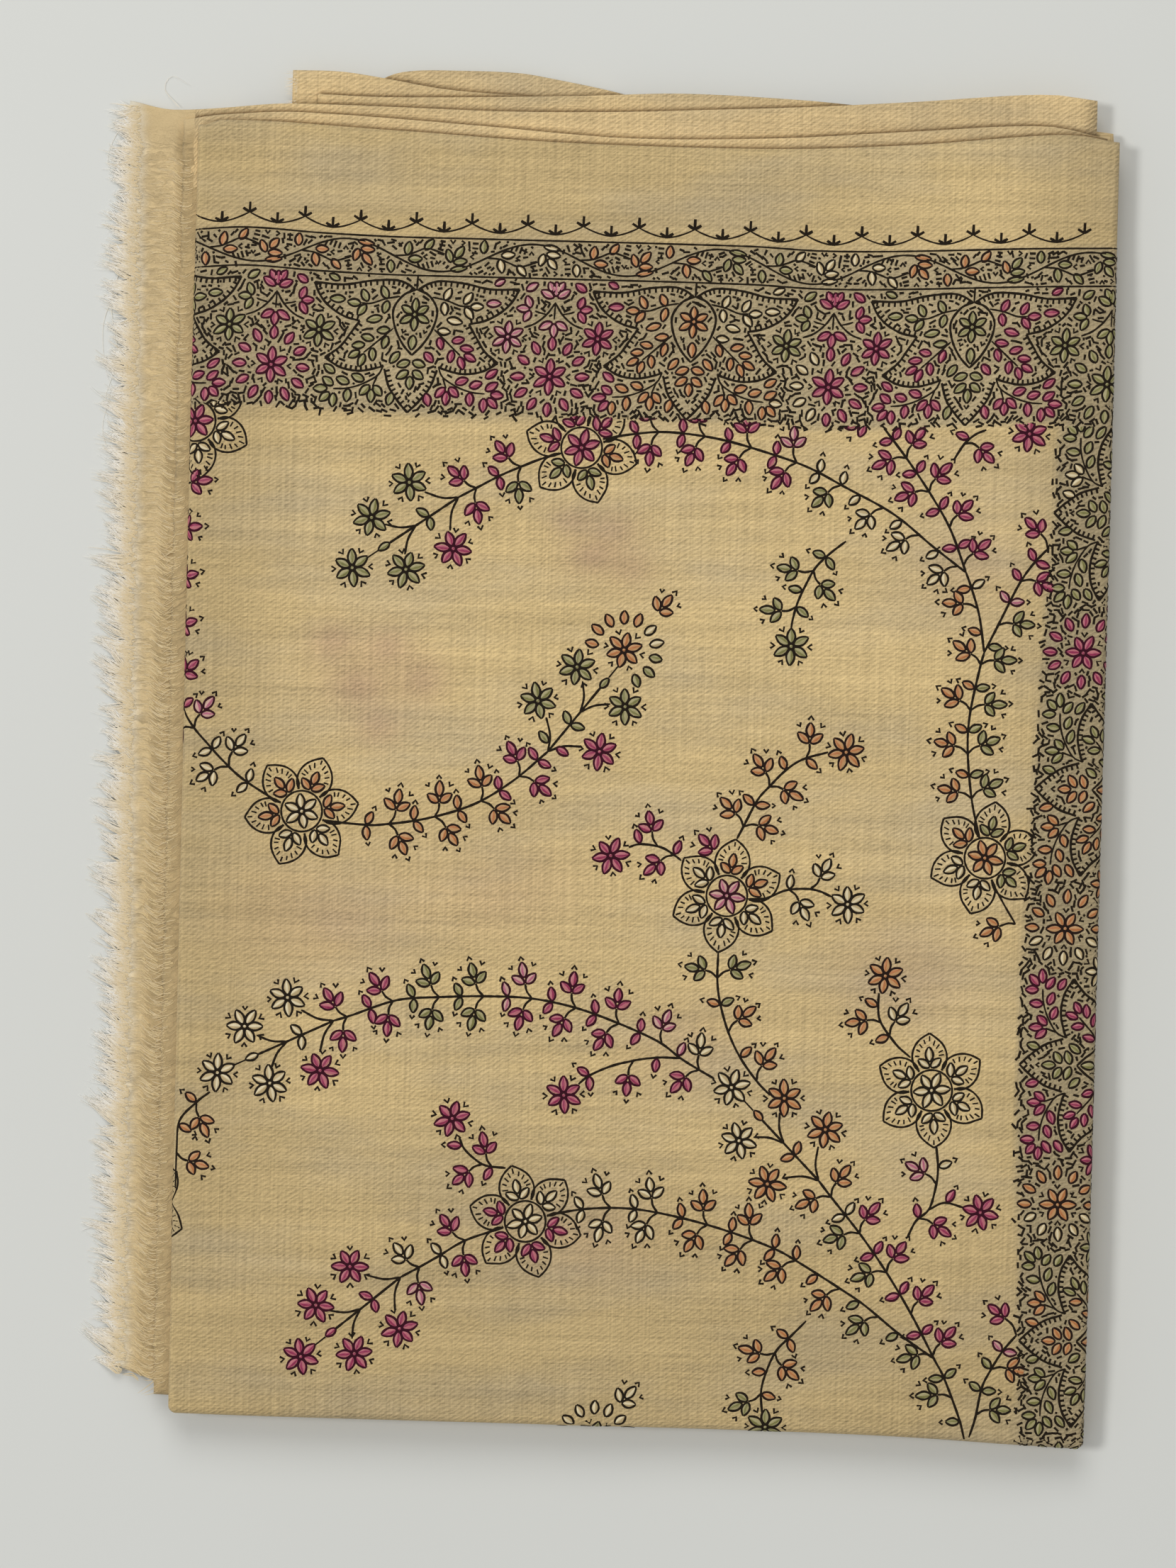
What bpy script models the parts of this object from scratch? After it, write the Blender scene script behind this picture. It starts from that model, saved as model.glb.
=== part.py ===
"""A pashmina scarf, folded flat and lying on a table with its top panel up.

Run it with blender --background --python part.py, or from the text editor.

The stole is woven in one piece, doubled along its length and then folded across into a flat
packet. u runs to the right over the packet, v runs from the long fold at the front to the
selvedges at the back, both in millimetres from the middle of the packet. Heights are in
millimetres above the table. The finished pieces stand with the middle of their box at the origin.
"""

import math
import random

import bmesh
import bpy
from mathutils import Vector

MM = 0.001

# The cloth
WALL = 1.2
LAYER_GAP = 0.4
LAYER_STEP = WALL + LAYER_GAP
SEAM_GAP = 0.3

# The layers by their count below the top panel
SECOND_LAYER, FRINGED_LAYER, STRIP_LAYER, END_LAYER, HUMP_LAYER = 1, 2, 3, 4, 5

# The packet's side folds, at the front and at the back
LEFT_FRONT, LEFT_BACK = -123.9, -125.0
RIGHT_FRONT, RIGHT_BACK = 123.1, 124.0
PACKET_FRONT, PACKET_BACK = -175.0, 175.0

# The top panel rolls over its folds and turns in below them
FOLD_RADIUS = 2.1
FOLD_TURN = math.radians(150)
FOLD_STEPS = 4

# Height of the packet's top, and how far it falls towards each side
STACK_HEIGHT = 15.0
SIDE_FALL, SIDE_REACH = 1.1, 26.0
FRONT_FALL, FRONT_REACH = 1.3, 34.0
BACK_FALL, BACK_REACH = 3.4, 90.0

# Soft waves over the whole packet: height, length along u, length along v, start in turns
WAVES = (
    {"height": 0.32, "u_turns": 1 / 190, "v_turns": 1 / 310, "start": 0.10},
    {"height": 0.24, "u_turns": -1 / 330, "v_turns": 1 / 140, "start": 0.35},
    {"height": 0.15, "u_turns": 1 / 95, "v_turns": -1 / 230, "start": 0.70},
)

# At the left, what lies under the top panel dips below its fold, and the fringed end hangs down
DIP, DIP_FROM, DIP_TO = 2.75, -97.0, -119.0
HANG_FROM, HANG_TO, HANG_HEIGHT = -120.0, -142.0, 1.9

# The fringed end's and the second end's left edges, at the front and at the back
FRINGED_LEFT_FRONT, FRINGED_LEFT_BACK = -139.4, -144.0
SECOND_LEFT_FRONT, SECOND_LEFT_BACK = -128.4, -129.2
SECOND_RIGHT, FRINGED_RIGHT = 120.6, 117.8

# Where each layer's edge shows from above, as u against v. Front edges are folds.
PANEL_FRONT = ((-124, -173.4), (-75, -173.6), (-26, -173.7), (65, -174.4), (118, -176.6), (124, -176.9))
FRINGED_FRONT = ((-142, -161.0), (-123, -166.7), (-100, -168.0), (118, -171.0))
PANEL_BACK = ((-125, 173.6), (-118, 175.8), (-72, 174.0), (-25, 171.9), (32, 171.7), (68, 173.7),
              (104, 177.2), (114, 177.3), (124, 175.6))
SECOND_BACK = ((-129, 176.2), (-118, 177.8), (-96, 178.4), (-48, 176.0), (-9, 173.8), (32, 174.8),
               (68, 177.5), (104, 179.8), (121, 176.9))
FRINGED_BACK = ((-144, 181.4), (-132, 179.1), (-102, 180.9), (-34, 180.4), (32, 183.2), (68, 185.7),
                (104, 188.6), (118, 187.3))
STRIP_BACK = ((-93, 183.9), (-73, 183.5), (-26, 185.1), (5, 186.6), (37, 185.7), (58, 184.2))
END_BACK = ((-100, 190.4), (-87, 190.3), (-76, 188.9), (-58, 186.2), (-34, 184.9), (-20, 183.6))
HUMP_BACK = ((-82, 183.0), (-76, 188.6), (-69, 191.0), (-54, 191.6), (-39, 191.4), (-29, 190.0),
             (-13, 187.1), (0, 183.8), (14, 181.0))

# The layers that show only behind the packet reach this far in below it
TUCK_FRONT = 148.0

# The folded core's outline, its hollow for those layers, and its layers along the edges
CORE_LEFT, CORE_RIGHT = -121.2, 121.6
CORE_FRONT_SETBACK = 2.2
CORE_BACK = 178.0
HOLLOW_FROM_V, HOLLOW_TO_V = 122.0, 142.0
HOLLOW_LEFT, HOLLOW_RIGHT, HOLLOW_BLEND = -108.0, 66.0, 8.0
CORE_LAYERS = 5
CORE_BULGE, CORE_BULGE_CHANGE = 1.0, 0.5

# Fringe: locks of loose yarn on a narrow backing strip
STRIP_WIDTH, STRIP_HEIGHT = 1.0, 0.9
LOCK_FLOOR = 0.35
END_FRINGE = {"locks": 118, "length": 6.6, "slant": -0.10, "first": 0.004, "last": 0.996}
SECOND_FRINGE = {"locks": 66, "length": 3.0, "slant": -0.35, "first": 0.02, "last": 0.70}
BACK_FRINGE = {"locks": 6, "length": 1.8, "slant": -0.2, "first": 0.05, "last": 0.95}

# Mesh fineness: widest spacing of the points across the cloth
CLOTH_STEP = 21.0
EDGE_STEP = 6.0

CLOTH_COLOUR = (0.62, 0.46, 0.26, 1.0)
SHADED_CLOTH_COLOUR = (0.53, 0.39, 0.22, 1.0)
YARN_COLOUR = (0.74, 0.62, 0.42, 1.0)


def smooth(share):
    """Runs gently from 0 to 1 as share does."""
    share = min(max(share, 0.0), 1.0)
    return share * share * (3.0 - 2.0 * share)


def mix(low, high, share):
    return low + (high - low) * share


def edge_at(points, u):
    """The v of an edge at u, on a smooth curve through its points."""
    if u <= points[0][0]:
        return points[0][1]
    if u >= points[-1][0]:
        return points[-1][1]
    last = len(points) - 1
    k = max(i for i in range(last) if points[i][0] <= u)

    def slope(i):
        low, high = max(i - 1, 0), min(i + 1, last)
        return (points[high][1] - points[low][1]) / (points[high][0] - points[low][0])

    (u0, v0), (u1, v1) = points[k], points[k + 1]
    width = u1 - u0
    t = (u - u0) / width
    return (
        (2 * t**3 - 3 * t**2 + 1) * v0
        + (t**3 - 2 * t**2 + t) * width * slope(k)
        + (3 * t**2 - 2 * t**3) * v1
        + (t**3 - t**2) * width * slope(k + 1)
    )


def straight_edge(at_front, at_back):
    """A side edge: u as a function of v."""
    return lambda v: mix(at_front, at_back, (v - PACKET_FRONT) / (PACKET_BACK - PACKET_FRONT))


panel_left = straight_edge(LEFT_FRONT, LEFT_BACK)
panel_right = straight_edge(RIGHT_FRONT, RIGHT_BACK)


def stack_height(u, v):
    """Height of the packet's top."""
    side = min(u - panel_left(v), panel_right(v) - u)
    height = STACK_HEIGHT
    height -= SIDE_FALL * smooth(1 - side / SIDE_REACH)
    height -= FRONT_FALL * smooth(1 - (v - PACKET_FRONT) / FRONT_REACH)
    height -= BACK_FALL * smooth(1 - (PACKET_BACK - v) / BACK_REACH)
    for wave in WAVES:
        turns = u * wave["u_turns"] + v * wave["v_turns"] + wave["start"]
        height += wave["height"] * math.sin(2 * math.pi * turns)
    return height


def layer_height(layer):
    """The upper side of the cloth in the given layer, counted down from the top panel."""
    def height(u, v):
        z = stack_height(u, v) - layer * LAYER_STEP
        if layer == 0:
            return z
        z -= DIP * smooth((DIP_FROM - u) / (DIP_FROM - DIP_TO))
        at_table = HANG_HEIGHT + (FRINGED_LAYER - layer) * LAYER_STEP
        return mix(z, at_table, smooth((HANG_FROM - u) / (HANG_FROM - HANG_TO)))
    return height


def stations(breaks, steps):
    """Places from the first break to the last, no further apart than each stretch's step."""
    places = [breaks[0]]
    for low, high, step in zip(breaks, breaks[1:], steps):
        count = max(1, math.ceil((high - low) / step))
        places += [mix(low, high, (i + 1) / count) for i in range(count)]
    return places


def flat_places(places):
    return [(place, 0.0) for place in places]


def turned_places(place, sign):
    """The rows of points that roll over a fold, from the flat cloth outwards."""
    return [(place, sign * FOLD_TURN * (i + 1) / FOLD_STEPS) for i in range(FOLD_STEPS)]


def sheet_grid(left, right, front, back, height, columns, rows, radius=0.0):
    """Points of a sheet of cloth. A column or row is a place and the turn past its fold there."""
    u_low, u_high = columns[0][0], columns[-1][0]
    v_low, v_high = rows[0][0], rows[-1][0]
    points = []
    for v_place, v_turn in rows:
        row = []
        for u_place, u_turn in columns:
            u_share = (u_place - u_low) / (u_high - u_low)
            v_share = (v_place - v_low) / (v_high - v_low)
            u = mix(left(v_place) + radius, right(v_place) - radius, u_share)
            v = mix(front(u) + radius, back(u), v_share)
            z = height(u, v)
            turn = max(abs(u_turn), abs(v_turn))
            if turn:
                length = math.hypot(u_turn, v_turn)
                u += radius * math.sin(turn) * u_turn / length
                v += radius * math.sin(turn) * v_turn / length
                z -= radius * (1 - math.cos(turn))
            row.append(Vector((u, v, z)))
        points.append(row)
    return points


def new_object(name, mesh_maker, colour, roughness):
    """An object in the scarf's collection, from a bmesh in millimetres."""
    mesh = bpy.data.meshes.new(name)
    bmesh.ops.scale(mesh_maker, vec=(MM, MM, MM), verts=mesh_maker.verts)
    mesh_maker.to_mesh(mesh)
    mesh_maker.free()
    made = bpy.data.objects.new(name, mesh)
    scarf.objects.link(made)
    made.parent = table_mark
    mesh.shade_smooth()
    mesh.set_sharp_from_angle(angle=math.radians(50))
    material = bpy.data.materials.new(name)
    material.use_nodes = True
    shader = material.node_tree.nodes["Principled BSDF"]
    shader.inputs["Base Color"].default_value = colour
    shader.inputs["Roughness"].default_value = roughness
    shader.inputs["Metallic"].default_value = 0.0
    mesh.materials.append(material)
    return made


def grid_mesh(points):
    """An open surface through a grid of points, facing up."""
    made = bmesh.new()
    rows = [[made.verts.new(point) for point in row] for row in points]
    for near, far in zip(rows, rows[1:]):
        for i in range(len(near) - 1):
            made.faces.new((near[i], near[i + 1], far[i + 1], far[i]))
    return made


def cloth_sheet(name, points, colour):
    """A wall of cloth under the grid of points."""
    made = new_object(name, grid_mesh(points), colour, 0.9)
    wall = made.modifiers.new("wall", "SOLIDIFY")
    wall.thickness = WALL * MM
    wall.offset = -1
    wall.use_even_offset = True
    return made


def make_top_panel():
    """The embroidered panel, rolled over its left, right and front folds."""
    across = stations((-122, -100, 100, 122), (EDGE_STEP * 1.3, CLOTH_STEP, EDGE_STEP * 1.3))
    along = stations((-172, -140, 175), (EDGE_STEP * 2, CLOTH_STEP))
    columns = turned_places(across[0], -1)[::-1] + flat_places(across) + turned_places(across[-1], 1)
    rows = turned_places(along[0], -1)[::-1] + flat_places(along)
    points = sheet_grid(
        panel_left,
        panel_right,
        lambda u: edge_at(PANEL_FRONT, u),
        lambda u: edge_at(PANEL_BACK, u),
        layer_height(0),
        columns,
        rows,
        FOLD_RADIUS,
    )
    cloth_sheet("top_panel", points, CLOTH_COLOUR)


def make_second_end():
    """The end of the other half, which shows past the top panel at its left and back."""
    across = stations((-129, -119, -97, SECOND_RIGHT), (EDGE_STEP * 0.7, EDGE_STEP, CLOTH_STEP))
    along = stations((-170, -140, 176), (EDGE_STEP * 3, CLOTH_STEP * 1.5))
    points = sheet_grid(
        straight_edge(SECOND_LEFT_FRONT, SECOND_LEFT_BACK),
        lambda v: SECOND_RIGHT,
        lambda u: edge_at(PANEL_FRONT, u) + 4.5,
        lambda u: edge_at(SECOND_BACK, u),
        layer_height(SECOND_LAYER),
        flat_places(across),
        flat_places(along),
    )
    cloth_sheet("second_end", points, SHADED_CLOTH_COLOUR)


def make_fringed_end():
    """The fringed end of the stole, which hangs to the table at the left."""
    across = stations(
        (-143, -119, -97, FRINGED_RIGHT), (EDGE_STEP * 0.8, EDGE_STEP, CLOTH_STEP)
    )
    along = stations((-168, -140, 120, 182), (EDGE_STEP * 3, CLOTH_STEP * 1.5, CLOTH_STEP))
    points = sheet_grid(
        straight_edge(FRINGED_LEFT_FRONT, FRINGED_LEFT_BACK),
        lambda v: FRINGED_RIGHT,
        lambda u: edge_at(FRINGED_FRONT, u),
        lambda u: edge_at(FRINGED_BACK, u),
        layer_height(FRINGED_LAYER),
        flat_places(across),
        flat_places(along),
    )
    cloth_sheet("fringed_end", points, CLOTH_COLOUR)
    return [row[0] for row in points]


def make_tucked_layer(name, layer, edge, step, colour):
    """A layer that shows only behind the packet, from its left end to its right end."""
    across = stations((edge[0][0], edge[-1][0]), (step,))
    along = stations((TUCK_FRONT, 184.0), (CLOTH_STEP,))
    points = sheet_grid(
        lambda v: edge[0][0],
        lambda v: edge[-1][0],
        lambda u: TUCK_FRONT,
        lambda u: edge_at(edge, u),
        layer_height(layer),
        flat_places(across),
        flat_places(along),
    )
    cloth_sheet(name, points, colour)
    return [row[0] for row in points]


def core_top(u, v):
    """The folded core's upper side, with its hollow for the layers tucked in at the back."""
    hollow = smooth((v - HOLLOW_FROM_V) / (HOLLOW_TO_V - HOLLOW_FROM_V))
    hollow *= smooth((u - HOLLOW_LEFT + HOLLOW_BLEND) / HOLLOW_BLEND)
    hollow *= smooth((HOLLOW_RIGHT + HOLLOW_BLEND - u) / HOLLOW_BLEND)
    tucked = (HUMP_LAYER - STRIP_LAYER + 1) * LAYER_STEP
    return layer_height(FRINGED_LAYER + 1)(u, v) - tucked * hollow


def make_folded_core():
    """All the hidden layers as one solid, flat below, with the folded layers round its edges."""
    across = stations(
        (CORE_LEFT, -97, HOLLOW_RIGHT, HOLLOW_RIGHT + HOLLOW_BLEND, CORE_RIGHT),
        (EDGE_STEP, CLOTH_STEP, HOLLOW_BLEND, CLOTH_STEP),
    )
    along = stations(
        (-170, HOLLOW_FROM_V, HOLLOW_TO_V, CORE_BACK), (CLOTH_STEP, HOLLOW_TO_V - HOLLOW_FROM_V, CLOTH_STEP)
    )
    points = sheet_grid(
        lambda v: CORE_LEFT,
        lambda v: CORE_RIGHT,
        lambda u: edge_at(PANEL_FRONT, u) + CORE_FRONT_SETBACK,
        lambda u: CORE_BACK,
        core_top,
        flat_places(across),
        flat_places(along),
    )
    made = grid_mesh(points)
    made.verts.ensure_lookup_table()
    width, depth = len(across), len(along)
    border = [made.verts[i] for i in range(width)]
    border += [made.verts[j * width + width - 1] for j in range(1, depth)]
    border += [made.verts[(depth - 1) * width + i] for i in range(width - 2, -1, -1)]
    border += [made.verts[j * width] for j in range(depth - 2, 0, -1)]
    rim = [vert.co.copy() for vert in border]
    outward = []
    for k, point in enumerate(rim):
        along_rim = rim[(k + 1) % len(rim)] - rim[k - 1]
        outward.append(Vector((along_rim.y, -along_rim.x, 0)).normalized())
    above = border
    for layer in range(CORE_LAYERS):
        for place, out in ((0.3, 1.0), (0.7, 1.0), (1.0, 0.0)):
            last = layer == CORE_LAYERS - 1 and place == 1.0
            share = 0.0 if last else 1 - (layer + place) / CORE_LAYERS
            ring = []
            for point, way in zip(rim, outward):
                change = math.sin(2.4 * layer + point.x / 70 + point.y / 95)
                bulge = out * (CORE_BULGE + CORE_BULGE_CHANGE * change)
                moved = point + way * bulge
                ring.append(made.verts.new((moved.x, moved.y, point.z * share)))
            for k in range(len(ring)):
                after = (k + 1) % len(ring)
                made.faces.new((above[after], above[k], ring[k], ring[after]))
            above = ring
    made.faces.new(above[::-1])
    new_object("folded_core", made, SHADED_CLOTH_COLOUR, 0.9)


def make_fringe(name, edge, fringe, seed):
    """Locks of loose yarn past a cloth's left edge, their roots in one backing strip."""
    draw = random.Random(seed)
    lengths = [0.0]
    for low, high in zip(edge, edge[1:]):
        lengths.append(lengths[-1] + (high - low).length)

    def edge_point(share):
        want = share * lengths[-1]
        k = max(i for i in range(len(edge) - 1) if lengths[i] <= want)
        part = (want - lengths[k]) / (lengths[k + 1] - lengths[k])
        return edge[k].lerp(edge[k + 1], part)

    count = fringe["locks"]
    made = bmesh.new()
    rings = []
    for k in range(count + 1):
        at = edge_point(mix(fringe["first"], fringe["last"], k / count))
        near, far = at.x - SEAM_GAP, at.x - SEAM_GAP - STRIP_WIDTH
        top = at.z - 0.5 * (WALL - STRIP_HEIGHT) - 0.15
        low = top - STRIP_HEIGHT
        corners = ((near, top), (near, low), (far, low), (far, top))
        rings.append([made.verts.new((x, at.y, z)) for x, z in corners])
    made.faces.new(rings[0][::-1])
    fronts = []
    for low, high in zip(rings, rings[1:]):
        for a in range(4):
            b = (a + 1) % 4
            face = made.faces.new((low[a], low[b], high[b], high[a]))
            if a == 2:
                fronts.append(face)
    made.faces.new(rings[-1])
    for stretch, width in ((0.45, 0.6), (0.55, 0.22)):
        fronts = bmesh.ops.extrude_discrete_faces(made, faces=fronts)["faces"]
        for face in fronts:
            middle = face.calc_center_median()
            reach = fringe["length"] * stretch * draw.uniform(0.72, 1.25)
            lift = max(LOCK_FLOOR + 0.3, middle.z - 0.35 * reach) - middle.z
            across = fringe["slant"] * reach + draw.uniform(-0.18, 0.18)
            for vert in face.verts:
                vert.co = middle + (vert.co - middle) * width + Vector((-reach, across, lift))
    new_object(name, made, YARN_COLOUR, 0.95)


def centre_on_table():
    """Moves the parent mark so that the middle of all the pieces stands at the origin."""
    bpy.context.view_layer.update()
    graph = bpy.context.evaluated_depsgraph_get()
    lows, highs = [], []
    for piece in scarf.objects:
        if piece.type != "MESH":
            continue
        corners = [vert.co for vert in piece.evaluated_get(graph).data.vertices]
        lows.append([min(corner[axis] for corner in corners) for axis in range(3)])
        highs.append([max(corner[axis] for corner in corners) for axis in range(3)])
    for axis in range(2):
        low, high = min(row[axis] for row in lows), max(row[axis] for row in highs)
        table_mark.location[axis] = -0.5 * (low + high)


for startup_object in list(bpy.data.objects):
    bpy.data.objects.remove(startup_object)
scarf = bpy.data.collections.new("pashmina_scarf")
bpy.context.scene.collection.children.link(scarf)
table_mark = bpy.data.objects.new("table_mark", None)
scarf.objects.link(table_mark)

make_folded_core()
make_tucked_layer("back_fold", HUMP_LAYER, HUMP_BACK, 6.5, SHADED_CLOTH_COLOUR)
back_end_edge = make_tucked_layer("back_end", END_LAYER, END_BACK, 8.0, CLOTH_COLOUR)
make_tucked_layer("back_layer", STRIP_LAYER, STRIP_BACK, 14.0, SHADED_CLOTH_COLOUR)
fringed_edge = make_fringed_end()
make_second_end()
make_top_panel()
make_fringe("end_fringe", fringed_edge, END_FRINGE, 11)
second_left = straight_edge(SECOND_LEFT_FRONT, SECOND_LEFT_BACK)
second_edge = []
for v_place in stations((-168.0, 172.0), (CLOTH_STEP,)):
    u_place = second_left(v_place)
    second_edge.append(Vector((u_place, v_place, layer_height(SECOND_LAYER)(u_place, v_place))))
make_fringe("second_fringe", second_edge, SECOND_FRINGE, 23)
make_fringe("back_end_fringe", back_end_edge[-2:], BACK_FRINGE, 31)
centre_on_table()
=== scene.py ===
"""The looks of a pashmina scarf that lies folded flat on a pale table.

u runs to the right over the folded packet and v from the long fold at the front to the selvedges
at the back, in millimetres from the middle of the packet, and z is the height above the table.
Cloth coordinates (s, t) are u and v on the flat of the top panel, and run on round its folds.
"""

import math
import random

import bpy
import numpy as np
from mathutils.kdtree import KDTree
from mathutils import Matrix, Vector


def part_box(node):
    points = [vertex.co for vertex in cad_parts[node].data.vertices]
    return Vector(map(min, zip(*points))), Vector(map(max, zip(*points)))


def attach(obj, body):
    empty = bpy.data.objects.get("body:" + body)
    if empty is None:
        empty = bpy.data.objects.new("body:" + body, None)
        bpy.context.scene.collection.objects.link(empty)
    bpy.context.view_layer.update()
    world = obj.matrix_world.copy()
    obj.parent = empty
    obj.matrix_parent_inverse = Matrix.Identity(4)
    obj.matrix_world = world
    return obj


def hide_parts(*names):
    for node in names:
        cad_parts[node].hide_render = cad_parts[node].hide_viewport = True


MM = 0.001

# The cloth and its layers, by their count below the top panel
SHELL = 1.0
LAYER_STEP = 1.6
SECOND_LAYER, FRINGED_LAYER, STRIP_LAYER, END_LAYER, HUMP_LAYER = 1, 2, 3, 4, 5

# The packet's side folds, at the front and at the back
LEFT_FRONT, LEFT_BACK = -123.9, -125.0
RIGHT_FRONT, RIGHT_BACK = 123.1, 124.0
PACKET_FRONT, PACKET_BACK = -175.0, 175.0

# The top panel rolls over its folds and turns in below them
FOLD_RADIUS = 2.1
FOLD_TURN = math.radians(150)
FOLD_STEPS = 14

# Height of the packet's top, and how far it falls towards each side
STACK_HEIGHT = 15.0
SIDE_FALL, SIDE_REACH = 1.1, 26.0
FRONT_FALL, FRONT_REACH = 1.3, 34.0
BACK_FALL, BACK_REACH = 3.4, 90.0

# Soft waves over the whole packet, and finer ripples: height, turns per millimetre, start in turns
WAVES = (
    {"height": 0.32, "u_turns": 1 / 190, "v_turns": 1 / 310, "start": 0.10},
    {"height": 0.24, "u_turns": -1 / 330, "v_turns": 1 / 140, "start": 0.35},
    {"height": 0.15, "u_turns": 1 / 95, "v_turns": -1 / 230, "start": 0.70},
    {"height": 0.07, "u_turns": 1 / 37, "v_turns": 1 / 64, "start": 0.20},
    {"height": 0.05, "u_turns": -1 / 52, "v_turns": 1 / 23, "start": 0.55},
    {"height": 0.04, "u_turns": 1 / 19, "v_turns": -1 / 33, "start": 0.85},
)

# At the left, what lies under the top panel dips below its fold, and the fringed end hangs down
DIP, DIP_FROM, DIP_TO = 2.75, -97.0, -119.0
HANG_FROM, HANG_TO, HANG_HEIGHT = -120.0, -142.0, 1.9

# The fringed end's and the second end's edges
FRINGED_LEFT_FRONT, FRINGED_LEFT_BACK = -139.4, -144.0
SECOND_LEFT_FRONT, SECOND_LEFT_BACK = -128.4, -129.2
SECOND_RIGHT, FRINGED_RIGHT = 120.6, 117.8
SECOND_SETBACK = 4.5

# Where each layer's edge shows from above, as u against v. Front edges are folds.
PANEL_FRONT = ((-124, -173.4), (-75, -173.6), (-26, -173.7), (65, -174.4), (118, -176.6), (124, -176.9))
FRINGED_FRONT = ((-142, -161.0), (-123, -166.7), (-100, -168.0), (118, -171.0))
PANEL_BACK = ((-125, 173.6), (-118, 175.8), (-72, 174.0), (-25, 171.9), (32, 171.7), (68, 173.7),
              (104, 177.2), (114, 177.3), (124, 175.6))
SECOND_BACK = ((-129, 176.2), (-118, 177.8), (-96, 178.4), (-48, 176.0), (-9, 173.8), (32, 174.8),
               (68, 177.5), (104, 179.8), (121, 176.9))
FRINGED_BACK = ((-144, 181.4), (-132, 179.1), (-102, 180.9), (-34, 180.4), (32, 183.2), (68, 185.7),
                (104, 188.6), (118, 187.3))
STRIP_BACK = ((-93, 183.9), (-73, 183.5), (-26, 185.1), (5, 186.6), (37, 185.7), (58, 184.2))
END_BACK = ((-100, 190.4), (-87, 190.3), (-76, 188.9), (-58, 186.2), (-34, 184.9), (-20, 183.6))
HUMP_BACK = ((-82, 183.0), (-76, 188.6), (-69, 191.0), (-54, 191.6), (-39, 191.4), (-29, 190.0),
             (-13, 187.1), (0, 183.8), (14, 181.0))
TUCK_FRONT = 148.0

# The folded core's outline, its hollow for the tucked layers, and the folds round its edges
CORE_LEFT, CORE_RIGHT, CORE_BACK = -121.2, 121.6, 178.0
CORE_FRONT_SETBACK = 2.2
HOLLOW_FROM_V, HOLLOW_TO_V = 122.0, 142.0
HOLLOW_LEFT, HOLLOW_RIGHT, HOLLOW_BLEND = -108.0, 66.0, 8.0
CORE_FOLDS = 9
CORE_BULGE, CORE_BULGE_CHANGE = 1.0, 0.45

# Embroidery: threads and how far they stand on the cloth
INK_WIDTH, INK_HEIGHT = 0.64, 0.15
STEM_WIDTH, STALK_WIDTH, RING_WIDTH, BAND_WIDTH, SPRIG_WIDTH, SWAG_WIDTH = 0.66, 0.62, 0.56, 0.54, 0.5, 0.46
# How much of its width a stitch keeps at its ends: most do, a short one and a drawn outline
TAPER, SHORT_TAPER, NO_TAPER = 0.7, 0.85, 1.0
PETAL_HEIGHT = 0.16
LEAF_LENGTH, LEAF_WIDTH = 3.7, 2.0
UNDER_FOLD = 2.2

# The border, on the chart of one repeat: x from its axis, y from its upper line
BORDER_PITCH = 75.05
BORDER_AXIS = 10.65
BORDER_DEPTH = 37.4
BORDER_LEAN = 0.052
BAND_DEPTH = 10.3
TOP_LINE = ((-125, 135.7), (-111, 136.6), (-91, 135.5), (-72, 134.9), (-50, 134.9), (24, 134.8),
            (43, 134.1), (62, 134.4), (100, 136.1), (124, 137.0))
SIDE_LINE = ((-177, 143.0), (-146, 141.8), (-74, 140.0), (0, 142.2), (75, 145.5), (100, 147.0))
SIDE_PITCH = 74.3
SIDE_AXIS = 1.1
BORDER_REPEATS = (-2, -1, 0, 1)
UPPER_PART = 17

# The chart of the vines: x to the right and y down, in squares of 2.11 mm, from its upper left
CHART_SQUARE = 2.11
CHART_LEAN = 0.0262
CHART_LEFT, CHART_TOP = -178.88, 205.88


def smooth(share):
    """Runs gently from 0 to 1 as share does."""
    share = np.clip(share, 0.0, 1.0)
    return share * share * (3.0 - 2.0 * share)


def mix(low, high, share):
    return low + (high - low) * share


def curve(points):
    """A smooth curve through a few (place, value) points, as a function of place."""
    xs, ys = np.array(points, float).T
    slopes = np.empty_like(ys)
    slopes[1:-1] = (ys[2:] - ys[:-2]) / (xs[2:] - xs[:-2])
    slopes[0] = (ys[1] - ys[0]) / (xs[1] - xs[0])
    slopes[-1] = (ys[-1] - ys[-2]) / (xs[-1] - xs[-2])

    def value(x):
        x = np.clip(x, xs[0], xs[-1])
        k = np.clip(np.searchsorted(xs, x, side="right") - 1, 0, len(xs) - 2)
        width = xs[k + 1] - xs[k]
        w = (x - xs[k]) / width
        return (
            (2 * w**3 - 3 * w**2 + 1) * ys[k]
            + (w**3 - 2 * w**2 + w) * width * slopes[k]
            + (3 * w**2 - 2 * w**3) * ys[k + 1]
            + (w**3 - w**2) * width * slopes[k + 1]
        )

    return value


def side_edge(at_front, at_back):
    """A side edge: u as a function of v."""
    return lambda v: mix(at_front, at_back, (v - PACKET_FRONT) / (PACKET_BACK - PACKET_FRONT))


panel_left = side_edge(LEFT_FRONT, LEFT_BACK)
panel_right = side_edge(RIGHT_FRONT, RIGHT_BACK)
panel_front = curve(PANEL_FRONT)
panel_back = curve(PANEL_BACK)
top_line = curve(TOP_LINE)
side_line = curve(SIDE_LINE)


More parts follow.
